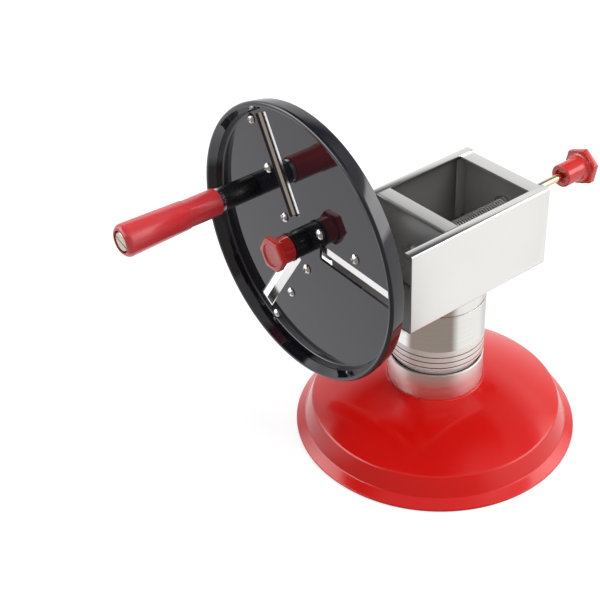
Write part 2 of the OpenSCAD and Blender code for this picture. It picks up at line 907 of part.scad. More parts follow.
module front_knob() {
    color("firebrick")
        on_disc()
            translate([0, 0, knob_f])
                knob(front_neck_d / 2, front_neck_l, front_head_r, front_head_t,
                    axle_r + fit, front_neck_l - bore_tip + rod_tip_play, axle_r + fit, front_dish_r);
}

// Pusher

module pusher_plate() {
    foot_play = 0.4;
    lip_play = 1;
    lap = 2;
    foot_z = floor_z + foot_play;
    narrow_x = side_x - lip_w - pusher_play;
    wide_x = inner_x - pusher_play;
    wide_top = hopper_top - hopper_t - lip_play;
    lip_profile = bent([
        [push_y + pusher_lip_w, hopper_top], [push_y, hopper_top], [push_y, wide_top - lap]
    ], hopper_bend_r);
    foot_profile = bent([
        [push_y, wide_top], [push_y, foot_z], [push_y + pusher_foot_w, foot_z]
    ], hopper_bend_r);
    color("silver")
        difference() {
            union() {
                translate([-narrow_x, 0, 0])
                    rotate([90, 0, 90]) linear_extrude(height = 2 * narrow_x) sheet(lip_profile, -pusher_t);
                translate([-wide_x, 0, 0])
                    rotate([90, 0, 90]) linear_extrude(height = 2 * wide_x) sheet(foot_profile, -pusher_t);
            }
            on_rod() translate([0, 0, push_y - cut]) cylinder(r = rod_r + fit, h = pusher_t + 2 * cut);
        }
}

module pusher_rod() {
    chamfer = 0.6;
    end = push_y + rod_l - rod_tip_play;
    color("khaki")
        on_rod() {
            translate([0, 0, push_y - rod_head_t]) cylinder(r = rod_head_r, h = rod_head_t);
            translate([0, 0, push_y]) cylinder(r = rod_r, h = end - push_y - chamfer);
            translate([0, 0, end - chamfer]) cylinder(r1 = rod_r, r2 = rod_r - chamfer, h = chamfer);
        }
}

module rod_nut() {
    color("khaki") on_rod() hex_nut(rod_nut_af, rod_r + fit, nut_y, rod_nut_t);
}

module spring_seat() {
    color("khaki") on_rod() ring(seat_r, rod_r + fit, seat_y, seat_t);
}

// Outer envelope of the coil
module pusher_spring() {
    color("lightgray")
        on_rod() ring(spring_d / 2, spring_d / 2 - wire_d, spring_y, spring_end_y - spring_y);
}

module rear_knob() {
    color("firebrick")
        translate([0, 0, rod_z])
            rotate([-90, 0, 0])
                translate([0, 0, rear_knob_y])
                    rotate([0, 0, rear_knob_turn])
                        knob(rear_neck_d / 2, rear_neck_l, rear_head_r, rear_head_t,
                            rod_r + fit, push_y + rod_l - rear_knob_y, rear_mouth_r, rear_dish_r);
}

// Disc

module disc_pan() {
    lip_r = disc_d / 2;
    lip_top = face_f + rim_h;
    profile = concat(
        bent([
            [hub_core_d / 2 + fit, face_f], [face_r, face_f],
            [face_r + rim_lean, face_f + rim_wall_h], [lip_r - 2 * lip_round, lip_top - lip_round]
        ], rim_foot_r),
        arc([lip_r - lip_round, lip_top - lip_round], lip_round, 120, -120, 2 * bend_steps),
        [[lip_r - rim_taper, face_f - rim_back]]
    );
    inner = reversed(shifted(profile, rim_t));
    color("dimgray")
        difference() {
            on_disc()
                rotate_extrude($fn = 128)
                    union() {
                        polygon(concat(profile, inner));
                        polygon([
                            [hub_core_d / 2 + fit, face_f], [face_r - rim_foot_r, face_f],
                            [face_r, back_f], [hub_core_d / 2 + fit, back_f]
                        ]);
                    }
            for (i = [0:blade_count - 1])
                on_blade(i) {
                    translate([slot_start, -slot_edge, back_f - cut])
                        cube([slot_l, slot_w, face_t + 2 * cut]);
                    for (u = screw_row)
                        translate([u, screw_at, back_f - cut])
                            cylinder(r = blade_screw_d / 2 + fit, h = face_t + 2 * cut, $fn = 32);
                }
            on_crank()
                translate([0, 0, back_f - cut])
                    cylinder(r = pin_thread_d / 2 + fit, h = face_t + 2 * cut);
        }
}

module blade(i) {
    front = back_f;
    far = root_at + root_w;
    color("lightgray")
        difference() {
            on_blade(i)
                translate([blade_start, 0, 0])
                    rotate([90, 0, 90])
                        linear_extrude(height = blade_l)
                            polygon([
                                [far, front], [root_at, front], [root_at - step_w, front - slice_t],
                                [-edge_at, front - slice_t], [bevel_w - edge_at, front - slice_t - blade_t],
                                [root_at - step_w - bend_shift, front - slice_t - blade_t],
                                [root_at - bend_shift, front - blade_t], [far, front - blade_t]
                            ]);
            on_blade(i)
                for (u = screw_row)
                    translate([u, screw_at, back_f - blade_t - cut])
                        cylinder(r = blade_screw_d / 2 + fit, h = blade_t + 2 * cut, $fn = 32);
        }
}

module blade_1() {
    blade(0);
}

module blade_2() {
    blade(1);
}

module blade_3() {
    blade(2);
}

module blade_screws() {
    socket_r = 1.4;
    socket_h = 1;
    color("gainsboro")
        for (i = [0:blade_count - 1])
            on_blade(i)
                for (u = screw_row)
                    translate([u, screw_at, face_f]) {
                        difference() {
                            domed_head(blade_head_d / 2, blade_head_h);
                            translate([0, 0, blade_head_h - socket_h])
                                cylinder(r = socket_r, h = socket_h + cut, $fn = 6);
                        }
                        translate([0, 0, -face_t - blade_t])
                            cylinder(r = blade_screw_d / 2, h = face_t + blade_t, $fn = 32);
                    }
}

module hub_sleeve() {
    color("black")
        on_disc()
            difference() {
                union() {
                    translate([0, 0, face_f]) cylinder(r = hub_d / 2, h = hub_l);
                    translate([0, 0, back_f]) cylinder(r = hub_core_d / 2, h = face_t);
                    translate([0, 0, hub_back_f]) cylinder(r = hub_flange_r, h = hub_flange_t);
                }
                translate([0, 0, hub_back_f - cut])
                    cylinder(r = axle_r + fit, h = hub_flange_t + face_t + hub_l + 2 * cut);
            }
}

// Crank

module crank_spacer() {
    color("black") on_crank() ring(spacer_d / 2, pin_thread_d / 2 + fit, face_f, spacer_l);
}

module crank_washer() {
    crank_washer_r = spacer_d / 2 + crank_washer_over;
    color("silver") on_crank() ring(crank_washer_r, pin_thread_d / 2 + fit, spacer_f, crank_washer_t);
}

module crank_pin() {
    shoulder_f = spacer_f + crank_washer_t;
    tail_f = back_f - crank_nut_t;
    chamfer = 0.6;
    color("silver")
        on_crank()
            difference() {
                union() {
                    translate([0, 0, tail_f]) cylinder(r = pin_thread_d / 2, h = shoulder_f - tail_f);
                    translate([0, 0, shoulder_f]) cylinder(r = pin_r, h = pin_head_f - shoulder_f);
                    translate([0, 0, pin_head_f]) cylinder(r = pin_head_r, h = pin_head_t - chamfer);
                    translate([0, 0, pin_head_f + pin_head_t - chamfer])
                        cylinder(r1 = pin_head_r, r2 = pin_head_r - chamfer, h = chamfer);
                }
                translate([-pin_head_r - cut, -pin_slot_w / 2, pin_head_f + pin_head_t - pin_slot_h])
                    cube([2 * (pin_head_r + cut), pin_slot_w, pin_slot_h + cut]);
            }
}

module crank_nut() {
    color("silver")
        on_crank()
            hex_nut(crank_nut_af, pin_thread_d / 2 + fit, back_f - crank_nut_t, crank_nut_t);
}

module pin_washer() {
    color("silver") on_crank() ring(pin_head_r, pin_r + fit, grip_floor_f + face_play, pin_washer_t);
}

module handle_grip() {
    foot_edge = 1;
    wide_foot_r = grip_r - grip_taper;
    neck_grip_r = wide_foot_r - grip_step;
    step_f = grip_f + grip_neck_l;
    round_r = grip_r - grip_round;
    end_turn = acos((grip_recess_d / 2 - round_r) / grip_round);
    color("firebrick")
        on_crank()
            rotate_extrude()
                polygon(concat(
                    [[pin_r + fit, grip_f], [neck_grip_r - foot_edge, grip_f],
                     [neck_grip_r, grip_f + foot_edge],
                     [neck_grip_r, step_f], [wide_foot_r, step_f + grip_step]],
                    arc([round_r, grip_end_f - grip_round], grip_round, 0, end_turn, 2 * bend_steps),
                    [[grip_recess_d / 2, grip_floor_f], [pin_r + fit, grip_floor_f]]
                ));
}

base_shell();
base_collar();
collar_screws();
guide_bush();
thrust_washer();
swivel_bush();
suction_pad();
pad_plate();
lift_screw();
post_neck();
lift_nut();
post_tube();
post_cap();
cap_screws();
hopper_trough();
rear_wall();
wall_rivets();
rod_bush();
axle_bracket();
bracket_screws();
bracket_nuts();
axle();
axle_nut();
axle_washer();
knob_washer();
front_knob();
pusher_plate();
pusher_rod();
rod_nut();
spring_seat();
pusher_spring();
rear_knob();
disc_pan();
blade_1();
blade_2();
blade_3();
blade_screws();
hub_sleeve();
crank_spacer();
crank_washer();
crank_pin();
crank_nut();
pin_washer();
handle_grip();
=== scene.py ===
"""A hand-cranked potato slicer on a suction base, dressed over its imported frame.

Sizes are in millimetres in every class and become metres when a piece is placed.
"""

import json
import logging
import math
from dataclasses import dataclass
from enum import Enum, IntEnum
from functools import cache
from typing import Sequence

import bpy
from mathutils import Matrix, Vector


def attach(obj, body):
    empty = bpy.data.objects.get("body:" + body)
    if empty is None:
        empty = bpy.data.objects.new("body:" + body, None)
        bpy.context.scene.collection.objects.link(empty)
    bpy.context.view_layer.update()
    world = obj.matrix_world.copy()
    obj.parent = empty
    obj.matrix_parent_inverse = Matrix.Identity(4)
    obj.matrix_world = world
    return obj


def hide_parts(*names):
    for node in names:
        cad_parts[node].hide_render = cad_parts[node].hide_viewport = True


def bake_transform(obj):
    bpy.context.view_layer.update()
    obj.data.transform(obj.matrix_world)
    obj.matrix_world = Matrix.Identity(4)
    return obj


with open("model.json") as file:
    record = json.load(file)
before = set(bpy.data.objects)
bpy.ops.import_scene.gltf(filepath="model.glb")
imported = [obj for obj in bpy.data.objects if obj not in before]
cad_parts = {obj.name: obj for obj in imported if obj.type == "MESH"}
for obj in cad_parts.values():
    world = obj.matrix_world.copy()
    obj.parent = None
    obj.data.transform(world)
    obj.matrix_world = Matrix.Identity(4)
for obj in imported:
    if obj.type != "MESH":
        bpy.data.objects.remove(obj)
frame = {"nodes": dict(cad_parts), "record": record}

LOG = logging.getLogger("slicer")
MM = 0.001
MERGE = 0.0005  # points nearer than this are one
PAST = 1.0  # how far a tool reaches past a face
SMALL = 4  # straight steps in a small rounding
CREASE = 32.0  # edges sharper than this stay sharp, in degrees
HERE = Matrix.Identity(4)
Point = tuple[float, float]
Place = tuple[float, float, float]
Colour = tuple[float, float, float]
Piece = bpy.types.Object
Socket = bpy.types.NodeSocket
Inputs = dict[str | int, object]
Sizes = tuple[float, ...]
Patterns = tuple[Socket, Socket, Socket]


# Outlines


def arc(centre: Point, radius: float, start: float, turn: float, steps: int) -> list[Point]:
    """Points along an arc.

    Args:
        centre: Centre of the arc.
        radius: Its radius.
        start: Direction of the first point, in degrees.
        turn: Angle to the last point, in degrees, counter-clockwise.
        steps: Number of straight steps.

    Returns:
        The points, first and last included.
    """
    angles = [math.radians(start + turn * i / steps) for i in range(steps + 1)]
    return [(centre[0] + radius * math.cos(a), centre[1] + radius * math.sin(a)) for a in angles]


def fillet(before: Point, corner: Point, after: Point, radius: float, steps: int) -> list[Point]:
    """Points of an arc that rounds one corner of a path.

    Args:
        before: Point before the corner.
        corner: The corner.
        after: Point after the corner.
        radius: Radius of the rounding.
        steps: Number of straight steps.

    Returns:
        The points that take the corner's place.
    """
    u = (Vector(before) - Vector(corner)).normalized()
    v = (Vector(after) - Vector(corner)).normalized()
    half = u.angle(v) / 2
    nearly_straight = math.radians(89)
    if radius <= 0 or half > nearly_straight:
        return [corner]
    centre = Vector(corner) + (u + v).normalized() * radius / math.sin(half)
    first = Vector(corner) + u * radius / math.tan(half) - centre
    last = Vector(corner) + v * radius / math.tan(half) - centre
    start = math.degrees(math.atan2(first.y, first.x))
    turn = math.degrees(math.atan2(last.y, last.x)) - start
    turn = (turn + 180) % 360 - 180
    return arc((centre.x, centre.y), radius, start, turn, steps)


def rounded(path: Sequence[Point], radii: float | Sequence[float], steps: int = 6) -> list[Point]:
    """Rounds the inner corners of an open path.

    Args:
        path: Points of the path.
        radii: One radius for all corners, or one for each inner corner.
        steps: Straight steps in each rounding.

    Returns:
        The rounded path.
    """
    sizes = [radii] * (len(path) - 2) if isinstance(radii, (int, float)) else list(radii)
    points = [path[0]]
    for i, size in enumerate(sizes, start=1):
        points += fillet(path[i - 1], path[i], path[i + 1], size, steps)
    return points + [path[-1]]


def rounded_loop(loop: Sequence[Point], radius: float, steps: int = 5) -> list[Point]:
    """Rounds every corner of a closed outline by the same radius.

    Args:
        loop: Corners of the outline.
        radius: Radius of the rounding.
        steps: Straight steps in each rounding.

    Returns:
        The rounded outline.
    """
    points = []
    for i, corner in enumerate(loop):
        points += fillet(loop[i - 1], corner, loop[(i + 1) % len(loop)], radius, steps)
    return points


def shifted(path: Sequence[Point], by: float) -> list[Point]:
    """Moves a path sideways and mitres its corners.

    Args:
        path: Points of the path.
        by: Distance to the right of its direction.

    Returns:
        The moved path.
    """

    def normal(a: Point, b: Point) -> Vector:
        """Unit vector to the right of the step from a to b."""
        step = Vector(b) - Vector(a)
        return Vector((step.y, -step.x)).normalized()

    last = len(path) - 1
    moved = []
    for i, point in enumerate(path):
        total = normal(path[max(i - 1, 0)], path[max(i, 1)])
        total = total + normal(path[min(i, last - 1)], path[min(i + 1, last)])
        place = Vector(point) + total * (2 * by / total.length_squared)
        moved.append((place.x, place.y))
    return moved


def sheet_outline(path: Sequence[Point], thickness: float) -> list[Point]:
    """Closed outline of a bent sheet that follows a path."""
    return list(path) + list(reversed(shifted(path, thickness)))


def stairs(across: Sequence[float], up: Sequence[float]) -> list[Point]:
    """Path that steps across to each next value at each of the heights in turn.

    Args:
        across: Values across, one more than there are heights.
        up: Heights of the treads.

    Returns:
        The points of the path.
    """
    points = []
    for i, height in enumerate(up):
        points += [(across[i], height), (across[i + 1], height)]
    return points


def rectangle(low: Point, high: Point) -> list[Point]:
    """Closed outline of a rectangle between two corners."""
    return stairs((low[0], high[0], low[0]), (low[1], high[1]))


def hexagon(radius: float) -> list[Point]:
    """Closed outline of a hexagon with a corner on the X axis."""
    return arc((0, 0), radius, 0, 300, 5)


def circle(radius: float) -> list[Point]:
    """Closed outline of a circle."""
    return arc((0, 0), radius, 0, 350, 35)


# Workbench


class Steps(IntEnum):
    """Straight steps in the whole turn of a piece, by its size."""

    SCREW = 32
    KNOB = 64
    GRIP = 96
    TUBE = 128
    BASE = 160
    DISC = 192


def clear() -> None:
    """Leaves edit mode and deselects everything."""
    if bpy.context.object is not None and bpy.context.object.mode != "OBJECT":
        bpy.ops.object.mode_set(mode="OBJECT")
    bpy.ops.object.select_all(action="DESELECT")


def pick(*pieces: Piece) -> None:
    """Selects these pieces alone, the first one active.

    Args:
        *pieces: The pieces, at least one.
    """
    clear()
    for piece in pieces:
        piece.select_set(True)
    bpy.context.view_layer.objects.active = pieces[0]


def delete(piece: Piece) -> None:
    """Deletes a piece."""
    pick(piece)
    bpy.ops.object.delete()


def edit() -> None:
    """Selects the whole mesh of the active piece, in edit mode."""
    bpy.ops.object.mode_set(mode="EDIT")
    bpy.ops.mesh.select_all(action="SELECT")


def started(name: str) -> Piece:
    """The piece that was just added, with its name.

    Args:
        name: Its name.

    Returns:
        The active piece.
    """
    piece = bpy.context.object
    piece.name = name
    piece.data.name = name
    return piece


def wire(name: str, points: Sequence[Place]) -> Piece:
    """A chain of edges pulled out of a plane that is merged to a point, in edit mode.

    Args:
        name: Name of the new piece.
        points: Places of the chain's points in turn.

    Returns:
        The new piece, with its whole mesh selected.
    """
    clear()
    bpy.ops.mesh.primitive_plane_add(size=1)
    piece = started(name)
    edit()
    bpy.ops.mesh.merge(type="CENTER")
    bpy.ops.transform.translate(value=points[0])
    for before, after in zip(points, points[1:]):
        step = Vector(after) - Vector(before)
        bpy.ops.mesh.extrude_region_move(TRANSFORM_OT_translate={"value": step})
    edit()
    return piece


def close() -> None:
    """Merges doubles, turns the faces outwards and leaves edit mode."""
    edit()
    bpy.ops.mesh.remove_doubles(threshold=MERGE)
    edit()
    bpy.ops.mesh.normals_make_consistent(inside=False)
    bpy.ops.object.mode_set(mode="OBJECT")


def turned(name: str, section: Sequence[Point], steps: Steps, where: Matrix | None = None) -> Piece:
    """Spins a section round the Z axis.

    Args:
        name: Name of the new piece.
        section: Radius and height of each corner, closed by itself or on the axis.
        steps: Steps in the whole turn.
        where: Its place, or None to leave it in millimetres.

    Returns:
        The turned piece.
    """
    points = [(radius, 0.0, height) for radius, height in section]
    if min(section[0][0], section[-1][0]) > 0:
        points.append(points[0])
    piece = wire(name, points)
    bpy.ops.mesh.spin(steps=steps, angle=math.tau, center=(0, 0, 0), axis=(0, 0, 1))
    close()
    return placed(piece, where)


def prism(
    name: str, outline: Sequence[Point], low: float, high: float, where: Matrix | None = None
) -> Piece:
    """Raises a closed outline in the XY plane between two heights.

    Args:
        name: Name of the new piece.
        outline: Corners of the outline.
        low: Height of its foot.
        high: Height of its top.
        where: Its place, or None to leave it in millimetres.

    Returns:
        The closed prism.
    """
    points = [(x, y, low) for x, y in outline]
    piece = wire(name, points + points[:1])
    bpy.ops.mesh.remove_doubles(threshold=MERGE)
    edit()
    bpy.ops.mesh.edge_face_add()
    bpy.ops.mesh.extrude_region_move(TRANSFORM_OT_translate={"value": (0, 0, high - low)})
    close()
    return placed(piece, where)


def coil(name: str, radius: float, wire_radius: float, pitch: float, turns: int) -> Piece:
    """Screws a round section into a spring along the Z axis, from height zero.

    Args:
        name: Name of the new piece.
        radius: Radius of the coil at the middle of the wire.
        wire_radius: Radius of the wire.
        pitch: Rise of each turn.
        turns: Number of turns.

    Returns:
        The coil, in millimetres.
    """
    sides, steps = 10, 24
    clear()
    upright = (math.pi / 2, 0, 0)
    bpy.ops.mesh.primitive_circle_add(vertices=sides, radius=wire_radius, rotation=upright)
    piece = started(name)
    bpy.ops.object.transform_apply(location=True, rotation=True, scale=True)
    edit()
    bpy.ops.transform.translate(value=(radius, 0, 0))
    bpy.ops.object.mode_set(mode="OBJECT")
    path = {"angle": math.tau, "screw_offset": pitch, "iterations": turns}
    modify(piece, "SCREW", steps=steps, render_steps=steps, **path)
    edit()
    bpy.ops.mesh.fill_holes(sides=sides)
    close()
    return piece


def modify(piece: Piece, kind: str, **settings: object) -> None:
    """Adds one modifier with these settings and applies it.

    Args:
        piece: The piece.
        kind: Type of the modifier.
        **settings: Its properties.
    """
    pick(piece)
    bpy.ops.object.modifier_add(type=kind)
    modifier = piece.modifiers[-1]
    for key, value in settings.items():
        setattr(modifier, key, value)
    bpy.ops.object.modifier_apply(modifier=modifier.name)


def soften(piece: Piece, width: float, segments: int = 2) -> None:
    """Rounds the sharp edges."""
    sharp = {"limit_method": "ANGLE", "angle_limit": math.radians(40)}
    modify(piece, "BEVEL", width=width, segments=segments, use_clamp_overlap=True, **sharp)


def cut(piece: Piece, tool: Piece) -> None:
    """Cuts a tool's shape out of a piece and deletes the tool."""
    modify(piece, "BOOLEAN", object=tool, operation="DIFFERENCE", solver="EXACT")
    delete(tool)


def joined(*pieces: Piece) -> Piece:
    """Joins several closed pieces into the first one.

    Args:
        *pieces: The pieces, which are all used up but the first.

    Returns:
        The first piece.
    """
    pick(*pieces)
    bpy.ops.object.join()
    return pieces[0]


def placed(piece: Piece, where: Matrix | None) -> Piece:
    """Puts a piece in its place and turns it to metres, or leaves it alone for None.

    Args:
        piece: A piece in millimetres.
        where: Its place, or None.

    Returns:
        The same piece.
    """
    if where is not None:
        pick(piece)
        piece.matrix_world = Matrix.Scale(MM, 4) @ where @ piece.matrix_world
        bpy.ops.object.transform_apply(location=True, rotation=True, scale=True)
    return piece


def smooth(piece: Piece, crease: float) -> None:
    """Smooths the shading over edges flatter than an angle in degrees."""
    pick(piece)
    bpy.ops.object.shade_smooth_by_angle(angle=math.radians(crease))


@dataclass(frozen=True)
class Frames:
    """Places of the parts that lie along an axis, in millimetres."""

    disc_x: float = -63.0
    disc_z: float = 168.0
    crank_radius: float = 62.7
    crank_turn: float = 161.1
    first_blade: float = 116.8
    blades: int = 3
    rod_z: float = 168.95

    def disc(self) -> Matrix:
        """The disc's axis, with Z towards the crank."""
        return Matrix.Translation((self.disc_x, 0, self.disc_z)) @ Matrix.Rotation(math.pi / 2, 4, "X")

    def crank(self) -> Matrix:
        """The crank's axis, with Z towards the grip's end."""
        turn = Matrix.Rotation(math.radians(self.crank_turn), 4, "Z")
        return self.disc() @ turn @ Matrix.Translation((self.crank_radius, 0, 0))

    def blade(self, index: int) -> Matrix:
        """One blade's direction, with X along the blade."""
        turn = self.first_blade - 360 / self.blades * index
        return self.disc() @ Matrix.Rotation(math.radians(turn), 4, "Z")

    def rod(self) -> Matrix:
        """The rod's axis, with Z towards the rear knob."""
        return Matrix.Translation((0, 0, self.rod_z)) @ Matrix.Rotation(-math.pi / 2, 4, "X")

    def lengthwise(self, y: float) -> Matrix:
        """A section across the hopper that runs forward from y."""
        return Matrix.Translation((0, y, 0)) @ Matrix.Rotation(math.pi / 2, 4, "X")

    def crosswise(self) -> Matrix:
        """A section along the hopper that runs across it."""
        return Matrix(((0, 0, 1, 0), (1, 0, 0, 0), (0, 1, 0, 0), (0, 0, 0, 1)))


FRAMES = Frames()


# Finishes


class Axis(Enum):
    """Axes that turned parts are ringed about: a point in millimetres and the axis's letter."""

    COLUMN = ((0.0, 0.0, 0.0), "Z")
    DISC = ((-63.0, 0.0, 168.0), "Y")
    CRANK = ((-122.32, 0.0, 188.31), "Y")
    ROD = ((0.0, 0.0, 168.95), "Y")

    def point(self) -> Vector:
        """A point on the axis, in metres."""
        return Vector(self.value[0]) * MM

    def direction(self) -> Vector:
        """Unit vector along the axis."""
        return Vector([1.0 if letter == self.value[1] else 0.0 for letter in "XYZ"])


def solid(colour: Socket | Colour) -> Socket | tuple[float, ...]:
    """A socket as it is, or a colour with its alpha."""
    return colour if isinstance(colour, Socket) else (*colour, 1)


class Nodes:
    """Node tree with short ways to add what is used often."""

    def __init__(self, tree: bpy.types.NodeTree) -> None:
        """Takes a tree over and empties it."""
        self.tree = tree
        tree.nodes.clear()

    def fill(self, node: bpy.types.Node, inputs: Inputs) -> None:
        """Links or sets inputs of a node, by name or number.

        Args:
            node: The node.
            inputs: A socket or a constant for each input.
        """
        for key, value in inputs.items():
            if isinstance(value, Socket):
                self.tree.links.new(value, node.inputs[key])
            else:
                node.inputs[key].default_value = value

    def add(self, kind: str, inputs: Inputs | None = None, **settings: object) -> bpy.types.Node:
        """Adds a node.

        Args:
            kind: Its type, without the usual ShaderNode in front.
            inputs: A socket or a constant for each input.
            **settings: Its properties.

        Returns:
            The node.
        """
        node = self.tree.nodes.new("ShaderNode" + kind)
        for key, value in settings.items():
            setattr(node, key, value)
        self.fill(node, inputs or {})
        return node

    def vector(self, operation: str, first: Socket, second: Sequence[float]) -> bpy.types.Node:
        """Vector Math node on a socket and a constant."""
        return self.add("VectorMath", {0: first, 1: second}, operation=operation)

    def maths(self, operation: str, first: Socket, second: Socket | float) -> Socket:
        """Math node on a socket and a second one or a constant."""
        return self.add("Math", {0: first, 1: second}, operation=operation).outputs[0]

    def mixed(self, factor: Socket, first: Socket | Colour, second: Socket | Colour) -> Socket:
        """Colour between two colours."""
        inputs = {0: factor, 6: solid(first), 7: solid(second)}
        return self.add("Mix", inputs, data_type="RGBA").outputs[2]

    def ramp(self, value: Socket, stops: Sequence[tuple[float, Colour]]) -> Socket:
        """Colour ramp over a value, with its stops as places and colours.

        Args:
            value: The value.
            stops: Place and colour of each stop, from low to high.

        Returns:
            The ramp's colour.
        """
        node = self.add("ValToRGB", {0: value})
        band = node.color_ramp
        while len(band.elements) < len(stops):
            band.elements.new(1.0)
        for element, (place, colour) in zip(band.elements, stops):
            element.position = place
            element.color = (*colour, 1)
        return node.outputs["Color"]

    def glow(self, colour: Socket | Colour, strength: float) -> Socket:
        """Emission of a colour or a colour socket."""
        return self.add("Emission", {"Color": solid(colour), "Strength": strength}).outputs[0]

    def chosen(self, factor: Socket, no: Socket, yes: Socket) -> Socket:
        """Picks between two shaders by a factor."""
        return self.add("MixShader", {0: factor, 1: no, 2: yes}).outputs[0]


class Graph(Nodes):
    """Node graph of one material round a Principled shader."""

    def __init__(self, name: str) -> None:
        """Makes a material with a shader and its output.

        Args:
            name: Name of the material.
        """
        self.material = bpy.data.materials.new(name)
        self.material.use_nodes = True
        super().__init__(self.material.node_tree)
        self.shader = self.add("BsdfPrincipled")
        self.add("OutputMaterial", {"Surface": self.shader.outputs["BSDF"]})
        self.spot = self.add("TexCoord").outputs["Object"]

    def put(self, **values: object) -> None:
        """Links or sets inputs of the shader, each named with _ for a space."""
        self.fill(self.shader, {key.replace("_", " "): value for key, value in values.items()})

    def stretched(self, scale: Place) -> Socket:
        """Object coordinates with each axis scaled."""
        return self.add("Mapping", {"Scale": scale, "Vector": self.spot}).outputs["Vector"]

    def ringed(self, axis: Axis) -> Socket:
        """Vector of the distance from an axis, the distance along it and zero.

        Args:
            axis: The axis.

        Returns:
            The vector, for patterns that ring the axis.
        """
        along = axis.direction()
        moved = self.vector("SUBTRACT", self.spot, axis.point()).outputs["Vector"]
        reach = self.vector("MULTIPLY", moved, Vector((1, 1, 1)) - along).outputs["Vector"]
        length = self.add("VectorMath", {0: reach}, operation="LENGTH").outputs["Value"]
        height = self.vector("DOT_PRODUCT", moved, along).outputs["Value"]
        return self.add("CombineXYZ", {"X": length, "Y": height}).outputs["Vector"]

    def noise(self, place: Socket, scale: float, detail: float) -> Socket:
        """Noise between 0 and 1, with this many features a metre."""
        inputs = {"Scale": scale, "Detail": detail, "Vector": place}
        return self.add("TexNoise", inputs).outputs["Fac"]

    def clouds(self, place: Socket, scale: float, detail: float) -> Socket:
        """Noise that is stretched to the whole of 0 to 1, to mix two colours by."""
        return self.ranged(self.noise(place, scale, detail), 0, 1)

    def ranged(self, value: Socket, low: float, high: float, span: Point = (0.3, 0.7)) -> Socket:
        """Stretches a span of a value to low..high."""
        inputs = {"From Min": span[0], "From Max": span[1], "To Min": low, "To Max": high}
        return self.add("MapRange", {**inputs, "Value": value}).outputs["Result"]

    def bump(self, height: Socket, depth: float) -> None:
        """Raises the surface by a height socket times a depth in millimetres."""
        inputs = {"Strength": 1.0, "Distance": depth * MM, "Height": height}
        self.put(Normal=self.add("Bump", inputs).outputs["Normal"])


@dataclass(frozen=True)
class Finish:
    """Two close colours, a roughness that varies with a grain, and a relief."""

    name: str
    colour: Colour
    shade: Colour
    roughness: float
    spread: Point = (1.0, 1.0)
    depth: float = 0.0
    metallic: float = 0.0
    coat: float = 0.0
    coat_roughness: float = 0.03
    ior: float = 1.5

    def build(self) -> bpy.types.Material:
        """Builds the material.

        Returns:
            The new material.
        """
        graph = Graph(self.name)
        share, grain, relief = self.patterns(graph)
        low, high = self.spread
        graph.put(
            Base_Color=graph.mixed(share, self.colour, self.shade),
            Roughness=graph.ranged(grain, self.roughness * low, self.roughness * high),
            Metallic=self.metallic,
            IOR=self.ior,
            Coat_Weight=self.coat,
            Coat_Roughness=self.coat_roughness,
        )
        graph.bump(relief, self.depth)
        return graph.material

    def patterns(self, graph: Graph) -> Patterns:
        """Share of the second colour, grain of the roughness and height of the relief."""
        raise NotImplementedError


@dataclass(frozen=True)
class Enamel(Finish):
    """Stoved enamel with a faint orange-peel surface under a clear coat."""

    spread: Point = (0.98, 1.03)
    depth: float = 0.004
    coat_roughness: float = 0.02
    clouds: float = 22.0
    haze: float = 60.0
    peel: float = 160.0

    def patterns(self, graph: Graph) -> Patterns:
        """Clouds, haze and orange peel."""
        clouds = graph.clouds(graph.spot, self.clouds, 2.0)
        return clouds, graph.noise(graph.spot, self.haze, 4.0), graph.noise(graph.spot, self.peel, 1.0)


@dataclass(frozen=True)
class TurnedMetal(Finish):
    """Metal with fine tool rings about an axis."""

    spread: Point = (0.75, 1.3)
    depth: float = 0.002
    metallic: float = 1.0
    axis: Axis = Axis.COLUMN
    rings: float = 2600.0

    def patterns(self, graph: Graph) -> Patterns:
        """Broad bands of colour and fine rings.

        Args:
            graph: Graph of the material.

        Returns:
            Bands of colour, grain and relief.
        """
        place = graph.ringed(self.axis)
        fine = graph.noise(place, self.rings, 2.0)
        return graph.clouds(place, self.rings / 8, 2.0), fine, fine


@dataclass(frozen=True)
class BrushedSheet(Finish):
    """Rolled sheet metal with a grain along one direction."""

    spread: Point = (0.99, 1.01)
    depth: float = 0.0003
    metallic: float = 1.0
    grain: Place = (1600.0, 30.0, 1600.0)
    clouds: float = 30.0

    def patterns(self, graph: Graph) -> Patterns:
        """Clouds of colour and the grain."""
        grain = graph.noise(graph.stretched(self.grain), 1.0, 3.0)
        return graph.clouds(graph.spot, self.clouds, 3.0), grain, grain


@dataclass(frozen=True)
class Moulded(Finish):
    """Moulded plastic or rubber with a faint flow pattern."""

    spread: Point = (0.8, 1.25)
    depth: float = 0.006
    coat_roughness: float = 0.06
    grain: float = 240.0
    flow: float = 70.0

    def patterns(self, graph: Graph) -> Patterns:
        """Flow of the colour and the skin."""
        skin = graph.noise(graph.spot, self.grain, 3.0)
        return graph.clouds(graph.spot, self.flow, 2.0), skin, skin


